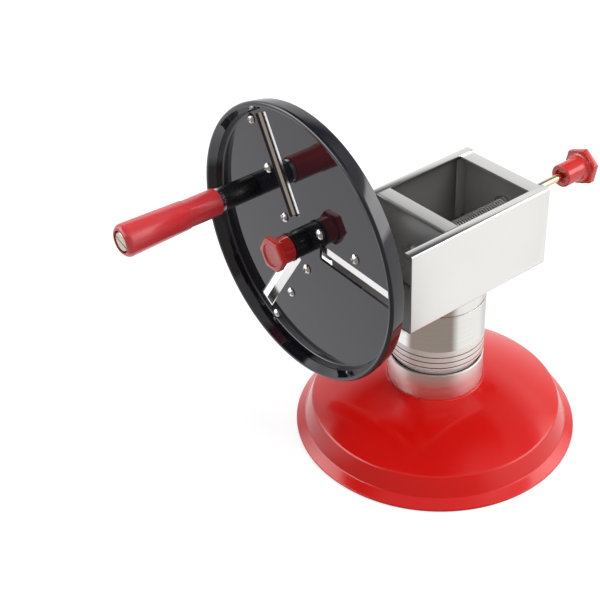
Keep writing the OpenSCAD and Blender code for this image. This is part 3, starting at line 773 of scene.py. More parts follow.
@dataclass(frozen=True)
class RibbedGrip(Finish):
    """Moulded plastic with soft ribs along the crank's grip."""

    spread: Point = (0.8, 1.3)
    depth: float = 0.10
    coat: float = 0.3
    coat_roughness: float = 0.12
    ribs: int = 10
    flow: Place = (160.0, 24.0, 160.0)

    def patterns(self, graph: Graph) -> Patterns:
        """Flow along the grip and waves round it.

        Args:
            graph: Graph of the material.

        Returns:
            Flow as the share of colour, flow as the grain, and waves as the relief.
        """
        moved = graph.vector("SUBTRACT", graph.spot, Axis.CRANK.point()).outputs["Vector"]
        parts = graph.add("SeparateXYZ", {0: moved}).outputs
        angle = graph.maths("ARCTAN2", parts["X"], parts["Z"])
        wave = graph.maths("SINE", graph.maths("MULTIPLY", angle, self.ribs), 0)
        flow = graph.noise(graph.stretched(self.flow), 1.0, 2.0)
        return graph.ranged(flow, 0, 1), flow, wave


@dataclass(frozen=True)
class PlatedRod(Finish):
    """Plated steel that turns from its first colour to its second towards the rear."""

    spread: Point = (0.6, 1.5)
    depth: float = 0.004
    metallic: float = 1.0
    change: Point = (0.104, 0.120)
    grain: Place = (1400.0, 30.0, 1400.0)

    def patterns(self, graph: Graph) -> Patterns:
        """Change of colour and streaks along the rod.

        Args:
            graph: Graph of the material.

        Returns:
            Change of colour, and streaks as the grain and the relief.
        """
        length = graph.add("SeparateXYZ", {0: graph.spot}).outputs["Y"]
        streaks = graph.noise(graph.stretched(self.grain), 1.0, 3.0)
        return graph.ranged(length, 0, 1, self.change), streaks, streaks


RED_ENAMEL = Enamel("red_enamel", (0.62, 0.004, 0.002), (0.60, 0.0035, 0.002), 0.19, coat=0.35, ior=1.38)
DARK_ENAMEL = Enamel("dark_enamel", (0.009, 0.009, 0.013), (0.011, 0.011, 0.016), 0.04, depth=0.001, ior=1.58)
STAINLESS = TurnedMetal("stainless", (0.82, 0.81, 0.79), (0.78, 0.77, 0.75), 0.12, depth=0.001)
SATIN_STEEL = TurnedMetal("satin_steel", (0.84, 0.82, 0.80), (0.80, 0.78, 0.76), 0.38, depth=0.001)
AXLE_STEEL = TurnedMetal("axle_steel", (0.66, 0.65, 0.63), (0.56, 0.55, 0.53), 0.22, axis=Axis.DISC)
SPRING_STEEL = TurnedMetal("spring_steel", (0.86, 0.86, 0.86), (0.76, 0.76, 0.76), 0.34, axis=Axis.ROD)
BRASS = TurnedMetal("brass", (0.68, 0.46, 0.16), (0.58, 0.38, 0.12), 0.24)
FASTENER = TurnedMetal(
    "fastener", (0.70, 0.70, 0.70), (0.60, 0.60, 0.60), 0.16, axis=Axis.DISC, rings=1800.0
)
PLAIN_FASTENER = TurnedMetal("plain_fastener", (0.66, 0.66, 0.65), (0.57, 0.57, 0.56), 0.22, rings=1800.0)
HOPPER_STEEL = BrushedSheet("hopper_steel", (0.85, 0.85, 0.84), (0.83, 0.83, 0.82), 0.28, depth=0.00004)
# painted shade: the steel inside the trough as a dark, dull grey
HOPPER_INSIDE_PAINTED_SHADE = BrushedSheet("hopper_inside_painted_shade", (0.16, 0.155, 0.15), (0.14, 0.135, 0.13), 0.45, metallic=0.0)
# painted shade on the rear wall's inside, lighter than the trough's to even out the deeper shadow that falls
# there
HOPPER_END_PAINTED_SHADE = BrushedSheet("hopper_end_painted_shade", (0.52, 0.51, 0.50), (0.47, 0.46, 0.45), 0.45, metallic=0.0)
BRACKET_STEEL = BrushedSheet("bracket_steel", (0.58, 0.57, 0.55), (0.50, 0.49, 0.47), 0.28)
# painted shade in the column's grooves
GROOVE_PAINTED_SHADE = BrushedSheet("groove_painted_shade", (0.10, 0.095, 0.09), (0.07, 0.065, 0.06), 0.55, metallic=0.3)
# painted light on the bead tops: a duller, lighter copy of the tube's steel
BEAD_PAINTED_LIGHT = BrushedSheet("bead_painted_light", (0.82, 0.80, 0.77), (0.78, 0.76, 0.73), 0.30, metallic=0.5)
# painted reflection and light: the steel neck in the dark gap under the column, made pink and light as if it
# mirrored the red base
NECK_PAINTED_REFLECTION = BrushedSheet("neck_painted_reflection", (0.78, 0.68, 0.66), (0.72, 0.62, 0.60), 0.40, metallic=0.3)
PIN_STEEL = BrushedSheet("pin_steel", (0.66, 0.58, 0.48), (0.58, 0.51, 0.42), 0.34, metallic=0.6)
BLADE_STEEL = BrushedSheet(
    "blade_steel", (0.82, 0.82, 0.80), (0.74, 0.74, 0.72), 0.14, grain=(260.0, 260.0, 260.0)
)
RED_PLASTIC = Moulded("red_plastic", (0.52, 0.022, 0.018), (0.46, 0.016, 0.014), 0.22, coat=0.4)
BLACK_PLASTIC = Moulded("black_plastic", (0.006, 0.006, 0.007), (0.009, 0.009, 0.010), 0.28)
NYLON = Moulded("nylon", (0.74, 0.73, 0.68), (0.68, 0.66, 0.61), 0.42)
RUBBER = Moulded("rubber", (0.016, 0.016, 0.017), (0.024, 0.024, 0.025), 0.62, grain=420.0)
CAST_ALLOY = Moulded("cast_alloy", (0.30, 0.30, 0.31), (0.24, 0.24, 0.25), 0.50, depth=0.03, grain=600.0)
GRIP_PLASTIC = RibbedGrip("grip_plastic", (0.52, 0.030, 0.035), (0.44, 0.026, 0.032), 0.30)
ZINC = PlatedRod("zinc", (0.74, 0.70, 0.68), (0.86, 0.66, 0.40), 0.20)
YELLOW_ZINC = PlatedRod("yellow_zinc", (0.70, 0.58, 0.36), (0.76, 0.60, 0.36), 0.24)

NAMED_AS_SLOT = (
    RED_ENAMEL, DARK_ENAMEL, STAINLESS, SPRING_STEEL, BRASS, FASTENER, HOPPER_STEEL, BLADE_STEEL,
    RED_PLASTIC, BLACK_PLASTIC, NYLON, RUBBER, CAST_ALLOY, GRIP_PLASTIC,
)
SLOTS = {finish.name: finish for finish in NAMED_AS_SLOT} | {"zinc": YELLOW_ZINC}

SPECIAL = {
    "axle": AXLE_STEEL,
    "axle_bracket": BRACKET_STEEL,
    "crank_pin": PIN_STEEL,
    "knob_washer": BLACK_PLASTIC,
    "post_neck": NECK_PAINTED_REFLECTION,
    "pusher_rod": ZINC,
    **dict.fromkeys(("cap_screws", "collar_screws", "rod_bush", "wall_rivets"), PLAIN_FASTENER),
}


@cache
def material(finish: Finish) -> bpy.types.Material:
    """The material of a finish, built once."""
    return finish.build()


def paint(piece: Piece, *finishes: Finish) -> None:
    """Gives a new piece these finishes, the first one on every face.

    Args:
        piece: The piece.
        *finishes: Its finishes in the order of its slots.
    """
    piece.data.materials.clear()
    for finish in finishes:
        piece.data.materials.append(material(finish))


def hand_over(piece: Piece, body: str, node: str, slot: str, *finishes: Finish) -> Piece:
    """Dresses a new piece, lets it ride on its body and puts it in its node's place.

    Args:
        piece: The finished piece.
        body: Body that carries it.
        node: Node that it stands for.
        slot: Material slot of the record, not used.
        *finishes: Its finishes, the first one on every face.

    Returns:
        The same piece.
    """
    smooth(piece, CREASE)
    paint(piece, *finishes)
    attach(piece, body)
    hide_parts(node)
    LOG.info("%s on %s: %d faces", piece.name, body, len(piece.data.polygons))
    return piece


# Sub-assemblies


@dataclass
class Foot:
    """Pressed base with its rubber disc and fixed collar."""

    edge_r: float = 110.0
    edge_low: float = 1.2
    edge_high: float = 2.0
    flange_r: float = 102.8
    flange_z: float = 7.6
    shoulder_r: float = 96.9
    shoulder_z: float = 22.3
    shell_rounds: Sizes = (1.2, 2.6, 4.0)
    crown_r: float = 37.6
    crown_z: float = 45.2
    crown_flat: float = 4.0
    crown_rounds: Sizes = (0.6, 0.4)
    step: float = 0.6
    sheet: float = 1.5
    hole_r: float = 9.55
    collar_r: float = 36.7
    collar_bore_r: float = 35.3
    collar_hole_r: float = 13.8
    collar_top: float = 68.7
    collar_rounds: Sizes = (0.4, 0.8, 0.3, 0.3)
    pad_r: float = 109.4
    pad_thick_r: float = 101.5
    pad_lip: float = 1.2
    pad_flat: float = 3.0
    pad_thick: float = 3.0
    pad_rounds: Sizes = (0.4, 0.4, 1.0, 1.0)
    ring_radii: Sizes = (62.0, 72.0, 82.0, 92.0)
    ring_w: float = 2.0
    ring_depth: float = 0.7

    def dome(self) -> list[Point]:
        """Arc of the dome from the shoulder to the crown's step.

        Returns:
            Radius and height of each point, from the shoulder inwards.
        """
        foot_r = self.crown_r + self.step
        foot_z = self.crown_z - self.step
        rise = self.shoulder_r**2 + self.shoulder_z**2 - foot_r**2 - foot_z**2
        centre_z = rise / (2 * (self.shoulder_z - foot_z))
        ball_r = math.hypot(self.shoulder_r, self.shoulder_z - centre_z)
        start = math.degrees(math.atan2(self.shoulder_z - centre_z, self.shoulder_r))
        turn = math.degrees(math.atan2(foot_z - centre_z, foot_r)) - start
        return arc((0, centre_z), ball_r, start, turn, 20)

    def shell(self) -> Piece:
        """The pressed base with a soft shoulder and a rolled edge.

        Returns:
            The dressed piece.
        """
        dome = self.dome()
        edge = [(self.edge_r, self.edge_low), (self.edge_r, self.edge_high), (self.flange_r, self.flange_z)]
        path = rounded(edge + dome[:2], self.shell_rounds, 8)
        crown = dome[-2:] + [(self.crown_r, self.crown_z), (self.crown_r - self.crown_flat, self.crown_z)]
        path = path[:-1] + dome[1:-2] + rounded(crown, self.crown_rounds, SMALL)
        path += [(self.hole_r, self.crown_z)]
        piece = turned("base_pressing", sheet_outline(path, -self.sheet), Steps.BASE, HERE)
        return hand_over(piece, "base", "base_shell", "red_enamel", RED_ENAMEL)

    def collar(self) -> Piece:
        """The fixed steel collar on the crown.

        Returns:
            The dressed piece.
        """
        inner_z = self.crown_z + self.sheet
        radii = (self.collar_hole_r, self.collar_r, self.collar_bore_r, self.collar_hole_r)
        path = stairs(radii, (self.crown_z, self.collar_top, inner_z))
        piece = turned("base_collar_tube", rounded(path, self.collar_rounds, SMALL), Steps.TUBE, HERE)
        return hand_over(piece, "base", "base_collar", "stainless", SATIN_STEEL)

    def pad(self) -> Piece:
        """The rubber disc with sealing rings pressed in its underside.

        Returns:
            The dressed piece.
        """
        path = [(0.0, 0.0)]
        half = self.ring_w / 2
        for radius in self.ring_radii:
            path += [(radius - half, 0.0), (radius, self.ring_depth), (radius + half, 0.0)]
        slope_r = self.pad_thick_r + self.pad_thick - self.pad_lip
        edge = stairs((self.pad_r - self.pad_flat, self.pad_r, slope_r), (0.0, self.pad_lip))
        edge += [(self.pad_thick_r, self.pad_thick), (0.0, self.pad_thick)]
        piece = turned("suction_disc", path + rounded(edge, self.pad_rounds, 3), Steps.TUBE, HERE)
        return hand_over(piece, "base", "suction_pad", "rubber", RUBBER)

    def build(self) -> None:
        """Builds the whole foot."""
        self.shell()
        self.collar()
        self.pad()


@dataclass
class Column:
    """Turning column with its rolled beads and its cap."""

    radius: float = 36.7
    bore_r: float = 35.3
    neck_r: float = 33.95
    low: float = 73.2
    high: float = 122.2
    top_band: float = 4.0
    floor: float = 74.6
    tube_rounds: Sizes = (0.25, 0.2, 0.3)
    first_groove: float = 75.9
    pitch: float = 4.85
    grooves: int = 3
    groove_half: float = 0.40
    groove_depth: float = 0.7
    groove_band: float = 2.0
    bead_fall: float = 0.03
    cap_r: float = 36.5
    cap_high: float = 136.7
    cap_plate: float = 4.0
    cap_rounds: Sizes = (0.5, 0.4, 0.4, 0.0, 0.25, 0.4)
    spigot_r: float = 35.25
    spigot_wall: float = 3.0
    spigot_low: float = 110.2
    edge: float = 0.5
    seam: float = 0.8

    def beads(self) -> list[Point]:
        """Outline of the beads, from the foot of the column upwards.

        Returns:
            Radius and height of each point.
        """
        points = []
        steps = 6
        for i in range(self.grooves + 1):
            start = self.first_groove + (i - 1) * self.pitch + self.groove_half
            end = self.first_groove + i * self.pitch - self.groove_half
            start = max(start, self.low + self.edge)
            if i == self.grooves:
                end = start + self.pitch
            for k in range(steps + 1):
                share = k / steps
                fall = self.bead_fall * (2 * share - 1) ** 2
                if (i == 0 and share < 0.5) or (i == self.grooves and share > 0.5):
                    fall = 0.0
                points.append((self.radius - fall, start + (end - start) * share))
            if i < self.grooves:
                points.append((self.radius - self.groove_depth, end + self.groove_half))
        return points

    def tube(self) -> Piece:
        """The steel tube of the turning column, with painted shade in its grooves and painted light on its
        beads.

        Returns:
            The dressed piece.
        """
        foot = [(self.neck_r, self.low), (self.radius - self.edge, self.low)]
        top = [(self.radius, self.high - self.top_band)]
        top += stairs((self.radius, self.bore_r, self.neck_r), (self.high, self.floor))
        path = foot + self.beads() + rounded(top, self.tube_rounds, SMALL)
        piece = turned("column_tube", path, Steps.TUBE, HERE)
        hand_over(piece, "column", "post_tube", "stainless", STAINLESS, GROOVE_PAINTED_SHADE, BEAD_PAINTED_LIGHT)
        low, high = self.first_groove - self.groove_band, self.first_groove + self.grooves * self.pitch
        # groove faces get painted shade, bead tops painted light
        groove_shade, bead_light = 1, 2
        for face in piece.data.polygons:
            depth = self.radius - math.hypot(face.center.x, face.center.y) / MM
            if low < face.center.z / MM < high and depth < self.groove_depth:
                face.material_index = groove_shade if depth > self.groove_depth / 3 else bead_light
        return piece

    def cap(self) -> Piece:
        """The cap that carries the hopper.

        Returns:
            The dressed piece.
        """
        plate_z = self.cap_high - self.cap_plate
        foot_z = self.high + self.seam
        inner_r = self.spigot_r - self.spigot_wall
        radii = (0.0, inner_r, self.spigot_r, self.cap_r, 0.0)
        path = stairs(radii, (plate_z, self.spigot_low, foot_z, self.cap_high))
        piece = turned("column_cap", rounded(path, self.cap_rounds, SMALL), Steps.TUBE, HERE)
        return hand_over(piece, "column", "post_cap", "stainless", STAINLESS)

    def build(self) -> None:
        """Builds the column."""
        self.tube()
        self.cap()


@dataclass
class Hopper:
    """Folded trough and its rear wall."""

    side_x: float = 42.3
    low: float = 136.7
    high: float = 201.2
    front_y: float = -66.0
    rear_y: float = 68.0
    sheet: float = 1.2
    bend_r: float = 1.8
    trough_edge: float = 0.18
    wall_edge: float = 0.15
    lip_x: float = 35.2
    rear_lip: float = 12.8
    ear: float = 10.0
    ear_drop: float = 6.0
    fit: float = 0.05
    bush_r: float = 4.4
    bush_y: Point = (50.0, 90.0)
    screws: int = 4
    screw_ring: float = 22.0
    screw_r: float = 2.0
    weld: Place = (46.6, 63.0, 141.5)
    weld_r: float = 4.5
    skin: float = 0.1
    lip_shade: float = 0.4

    def paint_inside_shade(self, piece: Piece) -> None:
        """Paints shade on those faces of a piece that look into the trough, with its second finish.

        Args:
            piece: A dressed piece with two finishes.
        """
        wall = (self.side_x - self.sheet + self.skin) * MM
        top = (self.high - self.sheet - self.lip_shade) * MM
        floor = (self.low + self.sheet / 2) * MM
        rear = (self.rear_y - self.skin) * MM
        for face in piece.data.polygons:
            centre = face.center
            inside = abs(centre.x) < wall and floor < centre.z < top and centre.y < rear
            # the inner faces get the painted shade
            if inside and face.normal.y < 0.5:
                face.material_index = 1

    def countersink(self) -> Piece:
        """Tool for one screw hole in the trough's floor.

        Returns:
            The tool, in millimetres on the Z axis.
        """
        top = self.low + self.sheet
        wide_r = self.screw_r + self.sheet
        path = [(0.0, self.low - PAST), (self.screw_r, self.low - PAST), (self.screw_r, self.low)]
        path += [(wide_r, top), (wide_r, top + PAST), (0.0, top + PAST)]
        return turned("screw_tool", path, Steps.SCREW)

    def trough(self) -> Piece:
        """The trough, folded from one sheet, with its two side lips.

        Returns:
            The dressed piece.
        """
        half = [(self.lip_x, self.high), (self.side_x, self.high), (self.side_x, self.low)]
        path = rounded(half + [(-x, z) for x, z in reversed(half)], self.bend_r)
        length = self.rear_y - self.front_y
        piece = prism("hopper_sheet", sheet_outline(path, self.sheet), 0, length)
        soften(piece, self.trough_edge)
        where = FRAMES.lengthwise(self.rear_y)
        for i in range(self.screws):
            angle = math.radians(45 + 360 / self.screws * i)
            spot = (self.screw_ring * math.cos(angle), self.screw_ring * math.sin(angle), 0)
            tool = self.countersink()
            tool.matrix_world = where.inverted() @ Matrix.Translation(spot)
            cut(piece, tool)
        clear()
        bpy.ops.mesh.primitive_uv_sphere_add(segments=32, ring_count=16, radius=self.weld_r)
        ball = bpy.context.object
        ball.matrix_world = where.inverted() @ Matrix.Translation(self.weld)
        cut(piece, ball)
        placed(piece, where)
        hand_over(piece, "column", "hopper_trough", "hopper_steel", HOPPER_STEEL, HOPPER_INSIDE_PAINTED_SHADE)
        self.paint_inside_shade(piece)
        return piece

    def fold(self, name: str, tip_y: float, level: float, up: int, half: float) -> Piece:
        """A strip folded forward to tip_y at a level, under the rear wall (1) or over it (-1).

        Args:
            name: Name of the new piece.
            tip_y: Front end of the strip.
            level: Height of its outer face.
            up: 1 for the foot of the wall, -1 for its lip.
            half: Half of its width.

        Returns:
            The strip in its place.
        """
        straight = self.bend_r + self.fit
        path = [(tip_y, level), (self.rear_y, level), (self.rear_y, level + up * straight)]
        outline = sheet_outline(rounded(path, self.bend_r), -up * self.sheet)
        return prism(name, outline, -half, half, FRAMES.crosswise())

    def wall(self) -> Piece:
        """The rear wall with its wide lip, two ears and a foot.

        Returns:
            The dressed piece.
        """
        reach = self.side_x - self.sheet - self.fit
        corner = self.bend_r - self.sheet
        top = self.high - self.sheet
        floor = self.low + self.sheet
        inner_y = self.rear_y - self.sheet
        upper = self.fold("rear_wall_sheet", self.rear_y - self.rear_lip, top, -1, reach - corner)
        lower = self.fold("rear_foot", inner_y - self.ear, floor, 1, reach - self.ear_drop)
        outline = rectangle((-reach, floor + self.bend_r), (reach, top - self.bend_r))
        panel = prism("rear_panel", outline, 0, self.sheet)
        soften(panel, self.wall_edge)
        placed(panel, FRAMES.lengthwise(self.rear_y))
        cut(panel, prism("bush_tool", circle(self.bush_r), *self.bush_y, FRAMES.rod()))
        ears = []
        for side in (-1, 1):
            low_x, high_x = sorted((side * reach, side * (reach - self.sheet)))
            outline = rectangle((low_x, inner_y - self.ear), (high_x, inner_y + self.sheet / 2))
            ear = prism("rear_ear", outline, floor + self.ear_drop, top - self.ear_drop)
            soften(ear, self.wall_edge)
            ears.append(placed(ear, HERE))
        piece = joined(upper, lower, panel, *ears)
        hand_over(piece, "column", "rear_wall", "hopper_steel", HOPPER_STEEL, HOPPER_END_PAINTED_SHADE)
        self.paint_inside_shade(piece)
        return piece

    def build(self) -> None:
        """Builds the hopper."""
        self.trough()
        self.wall()


@dataclass
class Pusher:
    """Pusher plate and coil spring."""

    face_y: float = -29.1
    sheet: float = 1.2
    lip: float = 12.6
    foot: float = 9.0
    foot_z: float = 138.3
    top: float = 201.2
    wide_top: float = 199.0
    wide_x: float = 40.6
    narrow_x: float = 34.7
    bend_r: float = 1.8
    notch_y: Point = (-40.0, 0.0)
    rod_r: float = 3.0
    rod_y: Point = (-40.0, -20.0)
    coil_r: float = 5.4
    wire_r: float = 0.6
    coil_crease: float = 60.0
    spring_low: float = -21.7
    spring_high: float = 64.8
    turns: int = 34

    def plate(self) -> Piece:
        """The folded plate that presses the potato on the disc.

        Returns:
            The dressed piece.
        """
        ends = (self.face_y + self.lip, self.face_y, self.face_y + self.foot)
        path = stairs(ends, (self.top, self.foot_z))
        outline = sheet_outline(rounded(path, self.bend_r), -self.sheet)
        piece = prism("pusher_sheet", outline, -self.wide_x, self.wide_x, FRAMES.crosswise())
        low_y, high_y = self.notch_y
        far_x = self.wide_x + PAST
        for low_x, high_x in ((-far_x, -self.narrow_x), (self.narrow_x, far_x)):
            notch = rectangle((low_x, low_y), (high_x, high_y))
            cut(piece, prism("notch_tool", notch, self.wide_top, self.top + PAST, HERE))
        cut(piece, prism("rod_tool", circle(self.rod_r), *self.rod_y, FRAMES.rod()))
        return hand_over(piece, "pusher", "pusher_plate", "hopper_steel", HOPPER_STEEL)

    def spring(self) -> Piece:
        """The coil spring between the pusher and the rear wall.

        Returns:
            The dressed coil.
        """
        length = self.spring_high - self.spring_low - 2 * self.wire_r
        piece = coil("pusher_coil", self.coil_r, self.wire_r, length / self.turns, self.turns)
        placed(piece, FRAMES.rod() @ Matrix.Translation((0, 0, self.spring_low + self.wire_r)))
        smooth(piece, self.coil_crease)
        paint(piece, SPRING_STEEL)
        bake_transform(piece)
        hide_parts("pusher_spring")
        LOG.info("%s between column and pusher: %d faces", piece.name, len(piece.data.polygons))
        return piece

    def build(self) -> None:
        """Builds the pusher's pieces."""
        self.plate()
        self.spring()


@dataclass
class Knob:
    """Hexagonal knob on a flared neck."""

    name: str
    node: str
    body: str
    axis: Matrix
    along: float
    neck_r: float
    neck_l: float
    head_r: float
    head_t: float
    dish_r: float
    mouth_r: float = 0.0
    turn: float = 0.0
    corner_r: float = 2.0
    head_edge: float = 0.9
    dish_depth: float = 1.2
    dish_flare: float = 0.6
    dish_round: float = 0.8
    mouth_depth: float = 2.5
    mouth_edge: float = 0.3
    foot_round: float = 1.2
    inset: float = 0.1
    overlap: float = 0.5

    def head(self) -> Piece:
        """The rounded hexagon with a round dish in its face.

        Returns:
            The head, in millimetres on the Z axis.
        """
        top = self.neck_l + self.head_t
        outline = rounded_loop(hexagon(self.head_r), self.corner_r)
        piece = prism(self.name, outline, self.neck_l, top)
        soften(piece, self.head_edge, 3)
        floor = top - self.dish_depth
        path = [(0.0, floor), (self.dish_r, floor), (self.dish_r + self.dish_flare, top + PAST)]
        path = rounded(path, self.dish_round, SMALL) + [(0.0, top + PAST)]
        cut(piece, turned("dish_tool", path, Steps.KNOB))
        return piece

    def neck(self) -> Piece:
        """The neck that flares into the head.

        Returns:
            The neck, in millimetres on the Z axis.
        """
        flare = self.head_r * math.cos(math.radians(30)) - self.neck_r - self.inset
        wide_r = self.neck_r + flare
        foot, edge = self.foot_round, self.mouth_edge
        path = [(0.0, 0.0)]
        if self.mouth_r > 0:
            path = [(0.0, self.mouth_depth), (self.mouth_r, self.mouth_depth), (self.mouth_r, edge)]
            path += [(self.mouth_r + edge, 0.0)]
        path += arc((self.neck_r - foot, foot), foot, -90, 90, 5)
        path += arc((wide_r, self.neck_l - flare), flare, 180, -90, 10)
        path += [(wide_r, self.neck_l + self.overlap), (0.0, self.neck_l + self.overlap)]
        return turned("knob_neck", path, Steps.KNOB)

    def build(self) -> Piece:
        """Builds the knob.

        Returns:
            The dressed knob.
        """
        piece = joined(self.head(), self.neck())
        turn = Matrix.Rotation(math.radians(self.turn), 4, "Z")
        placed(piece, self.axis @ Matrix.Translation((0, 0, self.along)) @ turn)
        return hand_over(piece, self.body, self.node, "red_plastic", RED_PLASTIC)


def front_knob() -> Knob:
    """The short knob on the disc's axle.

    Returns:
        The knob, not yet built.
    """
    return Knob(
        name="front_knob_head", node="front_knob", body="column", axis=FRAMES.disc(), along=89.5,
        neck_r=10.3, neck_l=9.9, head_r=13.6, head_t=6.0, dish_r=8.8,
    )


def rear_knob() -> Knob:
    """The long knob on the pusher's rod, with a mouth round the rod.

    Returns:
        The knob, not yet built.
    """
    return Knob(
        name="rear_knob_head", node="rear_knob", body="pusher", axis=FRAMES.rod(), along=129.6, turn=39.0,
        neck_r=9.2, neck_l=21.3, head_r=15.7, head_t=5.6, dish_r=10.0, mouth_r=5.4,
    )


@dataclass
class Disc:
    """Dished disc with its slots and blade screws, its hub and the crank's spacer."""

    bore_r: float = 8.05
    face_r: float = 100.5
    lip_r: float = 108.4
    face_f: float = 75.2
    back_f: float = 73.2
    rim_h: float = 11.3
    rim_foot: float = 6.0
    back_in: float = 0.5
    wall_h: float = 5.4
    lean: float = 1.0
    rim_rounds: Sizes = (1.6, 3.0)
    lip_round: float = 2.4
    skirt_in: float = 1.5
    skirt_back: float = 1.2
    rim_t: float = 1.5
    slot_low: Point = (18.5, -6.3)
    slot_high: Point = (97.5, 7.7)
    slot_round: float = 0.7
    slot_past: float = 3.0
    hub_r: float = 10.25
    hub_core_r: float = 8.0
    hub_flange_r: float = 11.3
    hub_back_f: float = 70.2
    hub_f: float = 88.4
    hub_rounds: Sizes = (0.5, 0.3, 0.0, 0.0, 0.3, 0.7)
    axle_r: float = 5.05
    spacer_r: float = 9.0
    spacer_bore_r: float = 3.05
    spacer_f: float = 106.3
    spacer_rounds: Sizes = (0.5, 0.9)
    screw_row: Sizes = (18.5, 57.0, 94.5)
    screw_at: float = 15.2
    screw_r: float = 2.0
    screw_l: float = 3.5
    screw_head_r: float = 4.0
    screw_edge: float = 0.2
    screw_side_h: float = 0.5
    screw_dome_h: float = 2.1
    socket_r: float = 1.5
    socket_h: float = 1.3

    def pan(self) -> Piece:
        """The disc with its rolled rim and three slots.

        Returns:
            The dressed piece.
        """
        lip_f = self.face_f + self.rim_h - self.lip_round
        rim = [
            (self.face_r - self.rim_foot, self.face_f), (self.face_r, self.face_f),
            (self.face_r + self.lean, self.face_f + self.wall_h), (self.lip_r - 2 * self.lip_round, lip_f),
        ]
        rim = rounded(rim, self.rim_rounds)
        rim += arc((self.lip_r - self.lip_round, lip_f), self.lip_round, 120, -120, 12)
        rim += [(self.lip_r - self.skirt_in, self.face_f - self.skirt_back)]
        inside = [point for point in reversed(shifted(rim, self.rim_t)) if point[0] > self.face_r]
        path = [(self.bore_r, self.face_f)] + rim + inside
        path += [(self.face_r - self.back_in, self.back_f), (self.bore_r, self.back_f)]
        piece = turned("disc_pressing", path, Steps.DISC, FRAMES.disc())
        slot = rounded_loop(rectangle(self.slot_low, self.slot_high), self.slot_round, 3)
        low, high = self.back_f - self.slot_past, self.face_f + self.slot_past
        for i in range(FRAMES.blades):
            cut(piece, prism("slot_tool", slot, low, high, FRAMES.blade(i)))
        return hand_over(piece, "disc", "disc_pan", "dark_enamel", DARK_ENAMEL)

    def hub(self) -> Piece:
        """The black hub that stands on the disc.

        Returns:
            The dressed piece.
        """
        radii = (self.axle_r, self.hub_flange_r, self.hub_core_r, self.hub_r, self.axle_r)
        path = stairs(radii, (self.hub_back_f, self.back_f, self.face_f, self.hub_f))
        piece = turned("hub_turning", rounded(path, self.hub_rounds, SMALL), Steps.KNOB, FRAMES.disc())
        return hand_over(piece, "disc", "hub_sleeve", "black_plastic", BLACK_PLASTIC)

    def spacer(self) -> Piece:
        """The black spacer between the disc and the grip.

        Returns:
            The dressed piece.
        """
        path = rectangle((self.spacer_bore_r, self.face_f), (self.spacer_r, self.spacer_f))
        path = rounded(path, self.spacer_rounds, SMALL)
        piece = turned("spacer_turning", path, Steps.KNOB, FRAMES.crank())
        return hand_over(piece, "disc", "crank_spacer", "black_plastic", BLACK_PLASTIC)

    def screw(self) -> Piece:
        """One domed screw with a hexagonal socket, its head's foot at height zero.

        Returns:
            The screw, in millimetres on the Z axis.
        """
        ball_r = (self.screw_head_r**2 + self.screw_dome_h**2) / (2 * self.screw_dome_h)
        start = math.degrees(math.acos(self.screw_head_r / ball_r))
        top = self.screw_side_h + self.screw_dome_h
        path = [(0.0, -self.screw_l), (self.screw_r, -self.screw_l), (self.screw_r, 0.0)]
        path += [(self.screw_head_r - self.screw_edge, 0.0), (self.screw_head_r, self.screw_edge)]
        path += arc((0.0, top - ball_r), ball_r, start, 90 - start, 12)
        piece = turned("screw_head", path, Steps.SCREW)
        cut(piece, prism("socket_tool", hexagon(self.socket_r), top - self.socket_h, top + PAST))
        return piece

    def screws(self) -> Piece:
        """The nine screws that hold the blades.

        Returns:
            The dressed screws as one piece.
        """
        first = self.screw()
        heads = []
        for i in range(FRAMES.blades):
            for reach in self.screw_row:
                copy = first.copy()
                copy.data = first.data.copy()
                bpy.context.scene.collection.objects.link(copy)
                spot = Matrix.Translation((reach, self.screw_at, self.face_f))
                heads.append(placed(copy, FRAMES.blade(i) @ spot))
        delete(first)
        piece = joined(*heads)
        piece.name = "disc_screws"
        return hand_over(piece, "disc", "blade_screws", "fastener", FASTENER)

    def build(self) -> None:
        """Builds the disc's pieces."""
        self.pan()
        self.hub()
        self.spacer()
        self.screws()


@dataclass
class Grip:
    """Turning grip of the crank."""

    start_f: float = 109.3
    end_f: float = 192.6
    step_f: float = 137.3
    thin_r: float = 10.5
    step_curve: tuple[Point, ...] = ((0.0, -0.2), (0.1, 0.0), (0.4, 0.3), (0.6, 0.8))
    thick_r: float = 12.6
    bore_r: float = 4.05
    recess_r: float = 8.5
    recess_f: float = 187.6
    end_round: float = 5.0
    edge: float = 1.2
    edge_mid: float = 0.35
    mouth: float = 0.4
    mouth_drop: float = 0.7

    def build(self) -> Piece:
        """Builds the grip with its rounded end and recess.

        Returns:
            The dressed piece.
        """
        round_r = self.thick_r - self.end_round
        turn = math.degrees(math.acos((self.recess_r + self.mouth - round_r) / self.end_round))
        path = [(self.bore_r, self.start_f), (self.thin_r - self.edge, self.start_f)]
        path += [(self.thin_r - self.edge_mid, self.start_f + self.edge_mid)]
        path += [(self.thin_r, self.start_f + self.edge)]
        path += [(self.thin_r + wider, self.step_f + later) for wider, later in self.step_curve]
        path += arc((round_r, self.end_f - self.end_round), self.end_round, 0, turn, 12)
        path += [(self.recess_r, self.end_f - self.mouth_drop)]
        path += [(self.recess_r, self.recess_f), (self.bore_r, self.recess_f)]
        piece = turned("crank_grip", path, Steps.GRIP, FRAMES.crank())
        return hand_over(piece, "grip", "handle_grip", "grip_plastic", GRIP_PLASTIC)


WHITE = (1.0, 1.0, 1.0)
BLACK = (0.0, 0.0, 0.0)


def bearing_share(degrees: float) -> float:
    """Share of the whole turn of a bearing from -180 to 180 degrees."""
    return (degrees + 180) / 360


